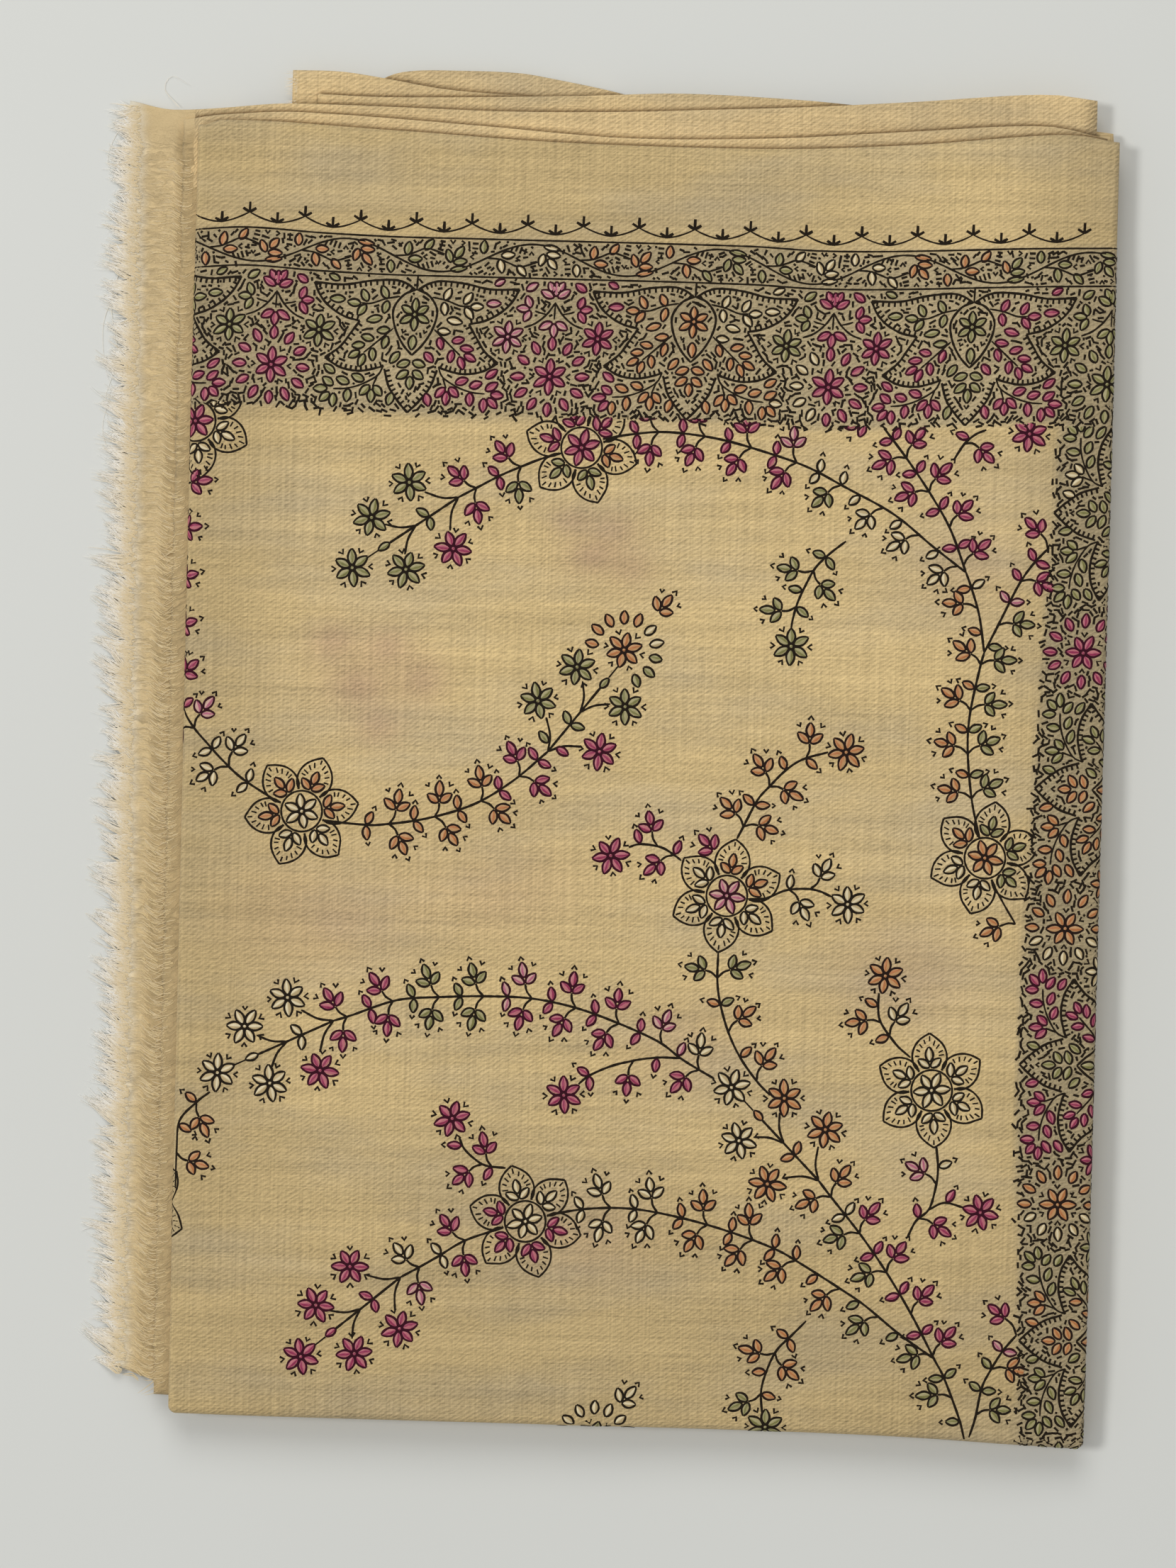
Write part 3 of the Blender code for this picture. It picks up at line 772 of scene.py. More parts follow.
def field():
    """The flowering vines over the panel."""
    for x, y, buds, heart, degrees in (
        (74.2, 57.1, "mmmoop", "magenta", 46), (125.6, 109.4, "oopcco", "peach", 19),
        (24.9, 53.6, "cccccc", "magenta", 37), (38.5, 103.4, "ppppcc", "cream", 9),
        (92.7, 114.2, "ppcccc", "pink", 22), (67.0, 155.7, "ccmmmm", "cream", 46),
        (118.8, 139.0, "cccccc", "cream", 35), (16.6, 153.6, "cccccc", "cream", 35),
    ):
        medallion(chart(x, y), buds, heart, degrees)

    # The upper vine: up from the second medallion, over to the first, and on to its spray
    vine(((124.9, 106.9), (123.9, 101.8), (123.4, 95.7), (123.7, 91), (124.9, 85.4), (125.5, 83.2)),
         "PO po PO po PO po PO", 10.4, 4.7)
    vine(((125.5, 83.2), (124.9, 78.6), (123.9, 75), (123.2, 73)), "p- P- pc", 4.8, 5)
    vine(((125.5, 83.2), (127.5, 79.3), (129.9, 74.6), (131.7, 72), (133.6, 70)),
         "-o -O kk mM mm", 1.8, 5.8)
    lone_bud(132.7, 68, 135, "magenta", ((133.6, 70), (133.4, 68.9)))
    vine(((123.2, 73), (121.3, 67.7), (119, 63.5), (115.9, 58.8), (112.8, 54.6), (111.8, 53)),
         "-M mm -M mm MM mm MM mm M-", 1.4, 3)
    vine(((123.2, 73), (119, 69.7), (113.9, 65.5), (107.8, 62.1), (102.9, 59.5), (97.2, 57.5),
          (91.3, 55.9), (85.1, 55.1), (80.5, 55.4), (76.9, 56)),
         "C- c- C- c- C- c- Oc cc MK mm MM mm MM mm MM mm", 2.5, 9.5)
    vine(((71.6, 57.8), (69.1, 58.5), (66.5, 59.5), (63.7, 60.7), (61.2, 62), (58.5, 63.4)),
         "OM mm MM", 10.5, 6)
    spray((58.5, 63.4), 215, "moooo", "o")

    # By the borders' corner, a flower and a bud that the border cuts
    vine(((125.8, 54.8), (124.4, 55.4), (123, 56.6), (121.6, 58.7)), "-- -m -- --", 0.5, 0.5)
    lone_bud(124.9, 57.1, 315, "magenta", ((123, 56.6), (124, 56.5)))
    flower(chart(131.3, 55.3), "magenta", 0.4)
    stroke(rounded([chart(126.7, 112.8), chart(128.2, 115.6), chart(129.5, 117.8)]), 0.55)
    lone_bud(127.4, 118.1, 205, "peach", ((129.5, 117.8), (128.6, 117.7)))

    # Hanging alone between the first medallion and the fifth
    vine(((107.9, 69), (105.7, 70.7), (104, 72.4), (102.8, 74.5), (101.7, 76.9), (101.1, 79), (100.9, 80.2)),
         "oo OO -o oO", 6, 6.3)
    flower(chart(100.9, 82.4), "olive", 0.5)

    # Up the left fold from the fourth medallion, and over to the rosette
    vine(((35.6, 102.3), (31, 99.3), (28.4, 96.9), (26.5, 94.8), (24.5, 92.4), (22.5, 88.8), (21.3, 84),
          (20.9, 77), (21.2, 70), (22.2, 63.5), (23.6, 58.5)),
         "cc CC cc MK mm MM mm MM mm MM mm MM mm MM", 9.5, 8)
    vine(((41.3, 104.6), (46.1, 105.1), (48.9, 105.1), (54.6, 104.3), (60.5, 102.5), (65.5, 99.5),
          (69.9, 95.8)),
         "pp PP pp PP pp PP mm MM mm", 10.8, 4.4)
    spray((69.9, 95.8), 52, "omoo", "o", end=False)
    leaf(chart(69.9, 94.7), math.radians(125), "olive", cap=False)
    leaf(chart(71, 95.3), math.radians(-35), "magenta", cap=False)
    rosette(chart(79.6, 82.9), 52, "peach", "pppppccooo")
    lone_bud(84, 78, 50, "peach")

    # Round the fifth medallion
    vine(((94, 106.9), (94.8, 105.4), (96.6, 102), (98.1, 100.3), (100.2, 98.2), (102.4, 96.8),
          (105.6, 95.9)),
         "PP pp PP p- Pp", 3.5, 6.8)
    flower(chart(107.9, 95.9), "peach", 0.2)
    vine(((86.9, 109.7), (86, 109), (84.3, 108), (81.7, 107.6), (80.2, 108)), "Mm -M -m", 2.3, 3.5)
    flower(chart(77.9, 109.1), "magenta", 0.15)
    lone_bud(91, 108.4, 135, "magenta")
    vine(((95.4, 114.6), (97.7, 114.5), (100.2, 113.5), (102.8, 113.3), (104.5, 113.6), (106, 114.3)),
         "cC C-", 10.7, 6.3)
    flower(chart(108.1, 115.3), "cream", 0.6)
    vine(((98.2, 139.6), (96.5, 137.8), (94.4, 134.8), (92.9, 131.6), (91.9, 128.1), (91.5, 125.1),
          (91.6, 121.5)),
         "-P -p -P po OO", 5, 7)

    # The middle vine: from the front fold to its first spray, on to the left, and its second
    vine(((123, 183.6), (122.3, 180.8), (120.4, 175.7), (119.1, 173.2), (116.4, 167.9), (113.3, 162.6),
          (109.9, 157.6), (106, 152.6), (104.4, 150.5)),
         "o- O- oo OM mm -M mm OM mm OM cc PP", 4.5, 5.7)
    spray((104.4, 150.5), 134.5, "ppcpc", "p")
    vine(((91.1, 137.5), (89.2, 136.4), (86.8, 134.9), (84, 132.8), (79, 130.5), (73.5, 128.5), (67.9, 127.3),
          (62.2, 127), (56.1, 127.1), (50.6, 127.5), (44.9, 129.4), (42.6, 130.1)),
         "MC -k -K mm MM mm MM mm MK kk OO oo OO oo MM mm MM", 4.5, 5)
    spray((42.6, 130.1), 205.5, "mcccc", "c")
    vine(((86.8, 134.9), (84.3, 134.8), (82, 135), (80.4, 135.3), (78, 135.9), (75.2, 137.1), (73.8, 138.2)),
         "m- M- -- mm", 6, 4.4)
    flower(chart(71.9, 139.6), "magenta", 0.6)
    vine(((26.8, 139.2), (25.1, 140.5), (22.9, 142.9), (22.5, 146.5), (22.3, 151.5)), "Pp p- P-", 3.6, 10)

    # Round the sixth medallion, and the lower vine
    vine(((64.5, 148.9), (62, 148.6), (60.5, 147.7), (59.2, 146.4), (58.6, 145)), "mM M- -- m-", 3, 3.2)
    flower(chart(57.7, 142.6), "magenta", 0.3)
    vine(((64.2, 156.5), (59.4, 158.1), (56, 160.1), (53.9, 161.3), (51.1, 162.8)), "MM cc KC", 10.3, 6)
    spray((51.1, 162.8), 220, "mmmmm", "m")
    vine(((119.1, 173.2), (114.6, 170), (110.4, 166.5), (107.5, 164.5), (102, 161), (98.8, 159.2),
          (93.3, 157.1), (87.1, 155.3), (80.7, 154.1), (74.9, 154.1), (69.8, 154.9)),
         "o- O- o- P- p- Pp pp PP pp PP pp CC cc CC cc", 11.2, 10.8)

    # Round the seventh medallion
    vine(((116.1, 134.8), (114.6, 133.5), (113.7, 132.4), (112.7, 131), (112.1, 129.7), (112, 127.9),
          (112.1, 126.6)),
         "pC P- p-", 7.2, 3.7)
    flower(chart(112.9, 124.4), "peach", 0.4)
    vine(((115.7, 157.7), (116.8, 155.6), (118.4, 154.2), (119.2, 151.8), (119.6, 149.2), (119.4, 146.1)),
         "mM -- K- -c", 5.3, 5.8)
    branch(((118.4, 154.2), (120.4, 153.3), (122.8, 153.9)), "magenta")
    leaf(chart(120.7, 153.2), math.radians(58), "magenta")

    # Along the front fold
    vine(((102.8, 168.4), (100.9, 170.3), (99.1, 172.1), (97.9, 174.5), (97.1, 177.3), (97.2, 180.2)),
         "pp PP -p pO", 5.9, 5.8)
    flower(chart(97.6, 182), "olive", 0.5)
    rosette(chart(75.8, 183.6), 52, "olive", "ccccccoooo")
    lone_bud(79.2, 178.9, 50, "cream")
    vine(((123.6, 183.3), (124.4, 180.8), (125.2, 177), (126.2, 174.9), (127.8, 172.3), (129.6, 170.2)),
         "-O oo oP kk", 6.1, 6)
    lone_bud(128.1, 168, 142, "magenta", ((129.6, 170.2), (129.1, 168.9)))


# The borders


def toothed(points, inward):
    """An outline through a few points, with comb teeth on its inner side."""
    line = rounded(points)
    stroke(line, taper=NO_TAPER)
    for k in range(1, len(line) - 1, 2):
        along = line[k + 1] - line[k - 1]
        side = np.array((-along[1], along[0])) / np.linalg.norm(along) * inward
        stroke([line[k] + side * 0.2, line[k] + side * 1.35], 0.7, SHORT_TAPER)


def border_repeat(colour_of):
    """One repeat of the border, on its chart: x to either side of its axis, and y down from its line."""
    def point(x, y, side=1):
        return np.array((x * side, -y))

    def shade(x, y, side=1):
        return colour_of(x * side, y)

    def leafy(x, y, degrees, side, length=LEAF_LENGTH, width=LEAF_WIDTH):
        """A petal with its middle at a point of the chart."""
        angle = math.radians(degrees)
        if side < 0:
            angle = math.pi - angle
        at = point(x, y, side)
        petal(at - toward(angle, 0.5 * length), angle, shade(x, y, side), length, width)

    stroke([point(0, 0), point(0, 2), point(0, 3.8)])
    for side in (1, -1):
        def line(*points):
            return [point(x, y, side) for x, y in points]

        stroke(rounded(line((0, 3.8), (3.2, 5.2), (5.5, 8.2), (5.9, 11), (4.8, 15), (2.6, 18.8), (0, 21.6))))
        toothed(line((0.5, 3.8), (3, 2.2), (6.3, 1.4), (12.6, 1.9), (19.8, 3.3), (27.6, 3.1)), -side)
        toothed(line((27.6, 3.1), (25.9, 6.5), (23.2, 9.4), (19.1, 11.8), (14.7, 12.9)), -side)
        toothed(line((14.7, 12.9), (16.8, 16.2), (19.4, 20.1), (23.3, 23.3)), -side)
        toothed(line((23.3, 23.3), (19, 25.7), (14, 26.4), (9.3, 25.4), (7.4, 24.6)), -side)
        toothed(line((7.1, 25.5), (5.5, 30.3), (2.7, 34.2), (0, 37.1)), -side)
        tick(point(2.9, 15.6, side), math.radians(70), 1.0)

        # Inside the upper wing: a stem with leaves, a cluster and a petal
        stroke(rounded(line((4.4, 5.8), (8.2, 6.6), (12, 8), (14.6, 8))), SPRIG_WIDTH)
        for x, y, degrees in ((8.5, 4.9, 65), (7.9, 8.9, -80), (13.9, 5.9, 60), (14.4, 9.9, -55),
                              (16.6, 8, 5)):
            leafy(x, y, degrees, side)
        leafy(21.0, 7.2, 0, side, 4.0)
        leafy(10.7, 12.2, -15, side, 4.2)
        for x, y, degrees in ((11.6, 4.3, 20), (17.6, 5.3, -5), (6.2, 3.4, 10), (20, 9.6, 35),
                              (17.4, 10.9, 20)):
            dash(point(x, y, side), math.radians(degrees) * side, 1.3)

        # Inside the lower wing: a leafy sprig
        stroke(rounded(line((5.5, 14.5), (8.2, 17), (11, 19.6), (13, 21.4))), SPRIG_WIDTH)
        for x, y, degrees in ((8.2, 15.0, -5), (7.4, 18.4, -75), (12.2, 17.2, 15), (14.6, 19.4, -5),
                              (10.6, 21.8, -95), (13.4, 23.4, -70), (15.6, 22.0, -30)):
            leafy(x, y, degrees, side, 3.6, 1.9)
        leafy(4.6, 22.2, -50, side, 3.8)

        # Below: sprigs with a bud at the end
        stroke(rounded(line((7.4, 24.6), (8.8, 27.4), (13, 30), (17, 31.3), (20.4, 31.6))), SPRIG_WIDTH)
        stroke(rounded(line((8.8, 27.4), (9.6, 29.6), (9.9, 30.4))), SPRIG_WIDTH)
        for x, y, degrees in ((14, 28.3, 20), (17.9, 29.2, 20), (16.5, 33.2, -85), (5.0, 33.6, -75),
                              (22.0, 29.6, 35), (23.8, 31.8, -5), (22.6, 34.0, -45), (20.2, 34.6, -90),
                              (8.4, 31.6, -130), (10.2, 33.0, -90), (12.0, 31.4, -45)):
            leafy(x, y, degrees, side, 3.7, 2.1)

        # Towards the next repeat: half of the arch, its flower, buds and the ring round the rosette
        stroke(rounded(line((37.6, 6.4), (35.4, 9.7), (32.5, 12.2), (29.6, 13.4))), 0.55)
        flower(point(25.4, 16.0, side), shade(25.4, 16.0, side), 0.5, 4.5)
        stroke(rounded(line((35.4, 9.7), (33.2, 9.2), (32.2, 8.8))), SPRIG_WIDTH)
        for degrees in (110, 175, 240):
            x, y = (31.2, 8.4) + toward(math.radians(degrees), 2.2) * (1, -1)
            leafy(x, y, degrees, side, 3.5)
        leafy(30.9, 2.3, 35, side, 3.6)
        leafy(22.3, 1.4, 25, side, 3.2, 1.7)
        leafy(36.2, 2.2, 120, side, 3.4)
        leafy(21.8, 26.3, 35, side, 3.7)
        for degrees in (60, 30, 0, -30, -60):
            x, y = (37.6, 26.5) - toward(math.radians(degrees), 8.7)
            leafy(x, y, 180 - degrees, side, 3.8, 2.1)

    # On the axis: a flower, a petal and a sprig
    flower(point(0, 10.6), shade(0, 10.6), math.pi / 2, 4.3, ticks=False)
    petal(point(0, 16.2), -math.pi / 2, shade(0, 18.2), 4.2, 2.2)
    for x, y, degrees in ((-2.1, 24.0, 200), (2.1, 24.0, -20), (-2.1, 27.0, 215), (2.1, 27.0, -35),
                          (0, 29.2, -90)):
        angle = math.radians(degrees)
        petal(point(x, y) - toward(angle, 1.9), angle, shade(0, 25.0), 3.7, 2.1)
    tick(point(0, 32.6), math.pi / 2, 1.1)

    # Half way to the next repeat
    x = 0.5 * BORDER_PITCH

    def fan(y, turns, reach, length, colour_y):
        for degrees in turns:
            angle = math.radians(degrees)
            petal(point(x, y) + toward(angle, reach), angle, shade(x, colour_y), length, 2.1)

    flower(point(x, 26.5), shade(x, 26.5), math.pi / 6, 4.9)
    fan(26.5, (90, 270), 7.0, 3.8, 26.5)
    fan(5.4, (30, 90, 150), 0.6, 3.9, 3.0)
    stroke([point(x, 6.6), point(x, 9.4), point(x, 11.0)], SPRIG_WIDTH)
    fan(11.6, (-150, -90, -30), 0.5, 3.9, 13.0)


def table(fields, *rows):
    """Rows of values under their fields' names."""
    return [dict(zip(fields.split(), row)) for row in rows]


# One half wave of the band, from where its stem crosses the middle: its leaves and its hatching
BAND_LEAVES = table(
    "x y turn length width",
    (5.7, 0.8, 2, 3.7, 2.0), (3.8, -2.1, -82, 3.7, 2.1), (9.4, -3.2, -50, 3.6, 1.9),
    (14.8, -0.3, 250, 3.7, 1.9), (17.9, 1.3, -5, 3.8, 1.9), (17.7, -1.3, -52, 3.8, 2.0),
    (17.5, 3.2, -8, 4.6, 1.5), (24.2, -2.9, -86, 3.5, 2.0),
)
BAND_HATCHES = table(
    "x y turn length",
    (6.7, 2.5, 65, 1.7), (8.0, 2.7, 68, 1.6), (9.1, 2.3, 70, 1.9), (10.3, 2.0, 72, 1.7),
    (12.6, -0.9, 14, 1.8), (12.5, -2.0, 16, 1.6), (12.9, -3.2, 12, 1.7), (13.1, -4.2, 8, 1.4),
    (21.7, -1.2, 5, 1.6), (21.8, -2.5, 4, 1.6), (21.9, -3.8, 2, 1.6), (6.3, -3.4, 130, 1.4),
    (7.3, -4.1, 130, 1.3), (1.6, -3.0, 50, 1.3), (10.4, 0.4, 10, 1.4), (20.6, 2.2, 75, 1.4),
)
BAND_TICKS = ((12.0, 1.9, -90), (8.0, 0.1, 0), (20.6, -0.2, 0), (15.8, -3.7, -90), (19.0, -3.9, 180))


def band_of_leaves(colour_of, length):
    """The narrow band above the border: a running stem with leaves, buds and hatching."""
    wave, rise, middle, crossing = BORDER_PITCH * 2 / 3, 4.0, 5.2, -33.5 - BORDER_PITCH / 6

    def height(x):
        return middle + rise * np.sin(2 * math.pi * (x - crossing) / wave)

    xs = np.arange(-length, length, 0.9)
    stroke(np.column_stack([xs, height(xs)]), BAND_WIDTH)
    for k in range(-4, 8):
        start, flip = crossing + 0.5 * k * wave, (-1) ** k

        def at(x, y):
            return np.array((start + x, middle + y * flip))

        stem = [at(0, 0), at(3.4, -0.3), at(5.9, -1.2), at(9.0, -2.2), at(13.6, -0.8)]
        stroke(rounded(stem), BAND_WIDTH)
        for row in BAND_LEAVES:
            angle = math.radians(row["turn"]) * flip
            petal(at(row["x"], row["y"]) - toward(angle, 0.5 * row["length"]), angle,
                  colour_of(start + row["x"]), row["length"], row["width"])
        for row in BAND_HATCHES:
            dash(at(row["x"], row["y"]), math.radians(row["turn"]) * flip, row["length"])
        for x, y, degrees in BAND_TICKS:
            tick(at(x, y), math.radians(degrees) * flip, 1.1)


# The swags over the band: the height of their lowest and how far they rise to their ends
SWAG_LOW, SWAG_RISE = 12.0, 2.4


def scallops(length):
    """Swags along the top of the band, with a small sprig on each end and each low point."""
    pitch = BORDER_PITCH / 5
    for k in range(-int(length / pitch), int(length / pitch)):
        x = -110.3 + 7 * pitch + (k + 0.5) * pitch
        dx = np.linspace(-0.5, 0.5, 15) * pitch
        swag = SWAG_LOW + SWAG_RISE * (abs(dx) / (0.5 * pitch)) ** 1.7
        stroke(np.column_stack([x + dx, swag]), SWAG_WIDTH)
        for at, foot in ((x, SWAG_LOW), (x + 0.5 * pitch, SWAG_LOW + SWAG_RISE)):
            for degrees, reach in ((32, 2.1), (88, 2.8), (148, 2.1)):
                angle = math.radians(degrees)
                root = np.array((at, foot))
                tip = root + toward(angle, reach)
                stroke([root, root + toward(angle, 0.5 * reach), tip], 0.8, SHORT_TAPER)


# Stitches on the border's ground: their spacing, and how near an outline a middle and an end may be
GROUND_SPACING, GROUND_MIDDLE_GAP, GROUND_END_GAP = 1.22, 0.6, 0.46


def fill_ground(stitches, inside, low, high):
    """Short stitches over the border's ground, along the outlines wherever they stay clear of them."""
    places = np.concatenate(stitches.places)
    tree = KDTree(len(places))
    for k, (s, t) in enumerate(places):
        tree.insert((s, t, 0.0), k)
    tree.balance()

    def clear(at):
        return tree.find((*at, 0.0))[2]

    columns = int((high[0] - low[0]) / GROUND_SPACING)
    laid = []
    for row in range(int((high[1] - low[1]) / GROUND_SPACING)):
        for column in range(columns):
            shift = 0.5 * (row % 2) + draw.uniform(-0.3, 0.3)
            place = (column + shift, row + draw.uniform(-0.3, 0.3))
            at = np.array([start + count * GROUND_SPACING for start, count in zip(low, place)])
            if not inside(*at):
                continue
            near, _, distance = tree.find((*at, 0.0))
            crowded = any(abs(at - other).sum() < GROUND_SPACING for other in laid[-2 * columns:])
            if distance < GROUND_MIDDLE_GAP or crowded:
                continue
            angle = math.atan2(at[1] - near[1], at[0] - near[0]) + math.pi / 2
            if distance > 1.5 and draw.random() < 0.4:
                angle += draw.choice((0.7, -0.7, math.pi / 2))
            length = draw.uniform(1.4, 2.1)
            half = toward(angle, 0.5 * length)
            while length > 0.7 and min(clear(at + half), clear(at - half)) < GROUND_END_GAP:
                length *= 0.8
                half = half * 0.8
            laid.append(at)
            dash(at, angle, length)


def top_place(axis):
    """Carries the border's chart to the border along the panel's back."""
    def lay(points):
        s = axis + points[..., 0] + BORDER_LEAN * np.minimum(points[..., 1], 0)
        return np.stack([s, top_line(s) + points[..., 1]], -1)
    return lay


def side_place(axis):
    """Carries the border's chart to the border down the panel's right side."""
    def lay(points):
        t = axis - points[..., 0]
        return np.stack([side_line(t) + points[..., 1], t], -1)
    return lay


# Threads along the back border, from each place on: the upper part's and the lower part's
TOP_COLOURS = (
    (-126, "olive", "magenta"), (-108, "magenta", "magenta"), (-92, "olive", "olive"),
    (-60, "cream", "magenta"), (-46, "pink", "magenta"), (-24, "magenta", "magenta"), (-10, "peach", "peach"),
    (16, "cream", "peach"), (34, "olive", "cream"), (44, "magenta", "magenta"), (62, "olive", "magenta"),
    (80, "olive", "olive"), (90, "magenta", "magenta"), (110, "olive", "olive"),
)
# Threads along the right border and the band
SIDE_COLOURS = (
    (-180, "olive"), (-150, "peach"), (-135, "olive"), (-122, "cream"), (-112, "peach"), (-99, "magenta"),
    (-78, "olive"), (-68, "magenta"), (-48, "cream"), (-38, "peach"), (4, "olive"), (28, "magenta"),
    (50, "olive"), (80, "cream"), (88, "olive"),
)
BAND_COLOURS = ("peach", "peach", "olive", "cream", "peach", "olive", "cream", "peach", "olive")


def colours_at(rows, place):
    """The threads that a table gives for a place."""
    return [row[1:] for row in rows if row[0] <= max(place, rows[0][0])][-1]


def ragged(place):
    """How far the border's lower edge wanders."""
    return 0.6 * np.sin(place * 1.7) + 0.5 * np.sin(place * 0.73 + 1.0)


def borders():
    """The border along the back, and the one down the right side, round its fold."""
    for stitches in (ink["field"], *threads.values()):
        stitches.keep(lambda s, t: (t < top_line(s) - BORDER_DEPTH + 0.4)
                      & (s < side_line(t) - BORDER_DEPTH + 1.6))
    pen["ink"] = ink["border"]
    for k in BORDER_REPEATS:
        axis = BORDER_AXIS + k * BORDER_PITCH
        pen["lay"] = top_place(axis)
        border_repeat(lambda x, y, axis=axis: colours_at(TOP_COLOURS, axis + x)[0 if y < UPPER_PART else 1])
    pen["lay"] = top_place(0.0)
    band_of_leaves(lambda x: BAND_COLOURS[int((x + 130) // 28) % len(BAND_COLOURS)], 128)
    scallops(130)
    for y in (0.0, BAND_DEPTH):
        xs = np.arange(-131, 131, 1.2)
        stroke(np.column_stack([xs, np.full(len(xs), y)]), SPRIG_WIDTH)

    pen["lay"] = lambda points: points
    fill_ground(
        ink["border"],
        lambda s, t: top_line(s) - BORDER_DEPTH + ragged(s) < t < top_line(s) + BAND_DEPTH - 0.6,
        (-128, 92), (128, 150),
    )

    whole = Stitches()
    pen["ink"] = whole
    laid = {name: len(stitches.faces) for name, stitches in threads.items()}
    for k in BORDER_REPEATS:
        axis = SIDE_AXIS + k * SIDE_PITCH
        pen["lay"] = side_place(axis)
        border_repeat(lambda x, y, axis=axis: colours_at(SIDE_COLOURS, axis - x)[0])
    for stitches, first in [(whole, 0)] + [(threads[name], laid[name]) for name in threads]:
        stitches.keep(lambda s, t: t < top_line(s) - BORDER_DEPTH - 0.4, first)
    pen["lay"] = lambda points: points
    fill_ground(
        whole,
        lambda s, t: s > side_line(t) - BORDER_DEPTH + ragged(t) and t < top_line(s) - BORDER_DEPTH - 0.5,
        (98, -180), (128, 100),
    )
    ink["border"].take(whole)


# The cloth pieces


def ground_share(s, t):
    """How much of the border's denser ground there is at a place."""
    top = smooth((t - (top_line(s) - BORDER_DEPTH - 1.0)) / 2.0)
    side = smooth((s - (side_line(t) - BORDER_DEPTH - 1.0)) / 2.0)
    return np.maximum(top, side) * smooth((top_line(s) + BAND_DEPTH + 1 - t) / 2.0)


# Places where the pattern of the layer below shows through: u, v, half width, half length, strength
SHOWING_THROUGH = (
    (-85, 36, 6, 5, 0.6), (-70, 35, 6, 5, 0.5), (-60, 26, 6, 6, 0.45), (-78, 24, 7, 5, 0.6),
    (-72, 13, 6, 5, 0.5), (-74, 26, 18, 14, 0.3), (-22, 70, 6, 4, 0.6), (-10, 68, 6, 5, 0.5),
    (-5, 57, 6, 5, 0.5), (-16, 60, 6, 4, 0.6), (-13, 63, 14, 10, 0.3),
    (-86, -38, 24, 14, 0.6), (-38, -30, 20, 12, 0.4), (70, -50, 18, 14, 0.4), (-14, -122, 24, 12, 0.5),
    (85, 60, 12, 10, 0.4), (14, -70, 16, 10, 0.4),
)


def tint_share(s, t):
    """How much of the pattern of the layer below shows through at a place."""
    share = np.zeros_like(s)
    for u, v, wide, long, strength in SHOWING_THROUGH:
        share += strength * np.exp(-(((s - u) / wide) ** 2) - ((t - v) / long) ** 2)
    return np.clip(share, 0, 1)


def painted_light(s, t):
    """How bright the painted light and shade make the cloth: most over the middle of the field, less towards
    the folds.
    """
    middle = smooth((s + 119) / 36) * smooth((118 - s) / 30) * smooth((t + 172) / 120)
    middle = middle * (1 - mix(0.8, 0.2, smooth((s + 10) / 80)) * smooth((t - 92) / 40))
    return 0.95 + 0.22 * middle + 0.04 * middle * np.exp(-(((t - 42) / 30) ** 2))


def make_top_panel(material):
    """The embroidered panel, rolled over its left, right and front folds."""
    turns = FOLD_RADIUS * FOLD_TURN * np.arange(1, FOLD_STEPS + 1) / FOLD_STEPS
    across = stations((0, 1), (2.0 / 244,))
    along = stations((0, 1), (2.0 / 347,))
    share_u, share_v = np.meshgrid(across, along)
    v = mix(PACKET_FRONT, PACKET_BACK, share_v)
    for _ in range(4):
        u = mix(panel_left(v) + FOLD_RADIUS, panel_right(v) - FOLD_RADIUS, share_u)
        v = mix(panel_front(u) + FOLD_RADIUS, panel_back(u), share_v)
    flat = np.stack([u, v], -1)
    left = flat[:, :1] - np.stack([turns[::-1], 0 * turns], -1)
    right = flat[:, -1:] + np.stack([turns, 0 * turns], -1)
    rows = np.concatenate([left, flat, right], 1)
    front = rows[:1] - np.stack([0 * turns[::-1], turns[::-1]], -1)[:, None]
    cloth = np.concatenate([front, rows], 0)
    points = panel_at(cloth[..., 0], cloth[..., 1])
    piece = cloth_shell("top_cloth", points, cloth, material)
    s, t = cloth[..., 0].ravel(), cloth[..., 1].ravel()
    note(piece, "ground", ground_share(s, t))
    note(piece, "tint", tint_share(s, t))
    # Painted light and shade over the panel, as a brightness for each point
    note(piece, "painted_light", painted_light(s, t))
    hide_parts("top_panel")
    return piece


# How much painted shade darkens the wool in the valley beside the panel's left fold, where its own tone is
# also browner
VALLEY_TINT_AND_SHADE = 0.6
# Behind this v a layer shows at the back of the packet, where its wool isn't brushed
BACK_FROM = 160
LEFT_BAND_END = 176


def valley_width(v):
    """How wide the browner band of painted shade beside the panel's left fold is."""
    return 6.2 + 3.2 * smooth((150 - v) / 150)


def combed(u, v):
    """How far the combed hairs of that band rise to either side of its middle."""
    wide = valley_width(v)
    return 0.8 / wide * np.clip(u - panel_left(v) + 0.5 * wide, -0.6 * wide, 0.6 * wide) ** 2


def shaded(u, v, layer):
    """How deep a place lies in the shade of the back edges of the layers over it."""
    share = np.zeros_like(u)
    for edge in (PANEL_BACK, SECOND_BACK, FRINGED_BACK, STRIP_BACK, END_BACK)[:layer]:
        past = v - curve(edge)(u)
        beside = (u > edge[0][0]) & (u < edge[-1][0]) & (past > -4)
        share = np.maximum(share, beside * np.exp(-(np.maximum(past, 0) / 0.9) ** 2))
    return 0.92 * share


def fixed(place):
    """An edge that stays at one place."""
    return lambda along: place + 0 * along


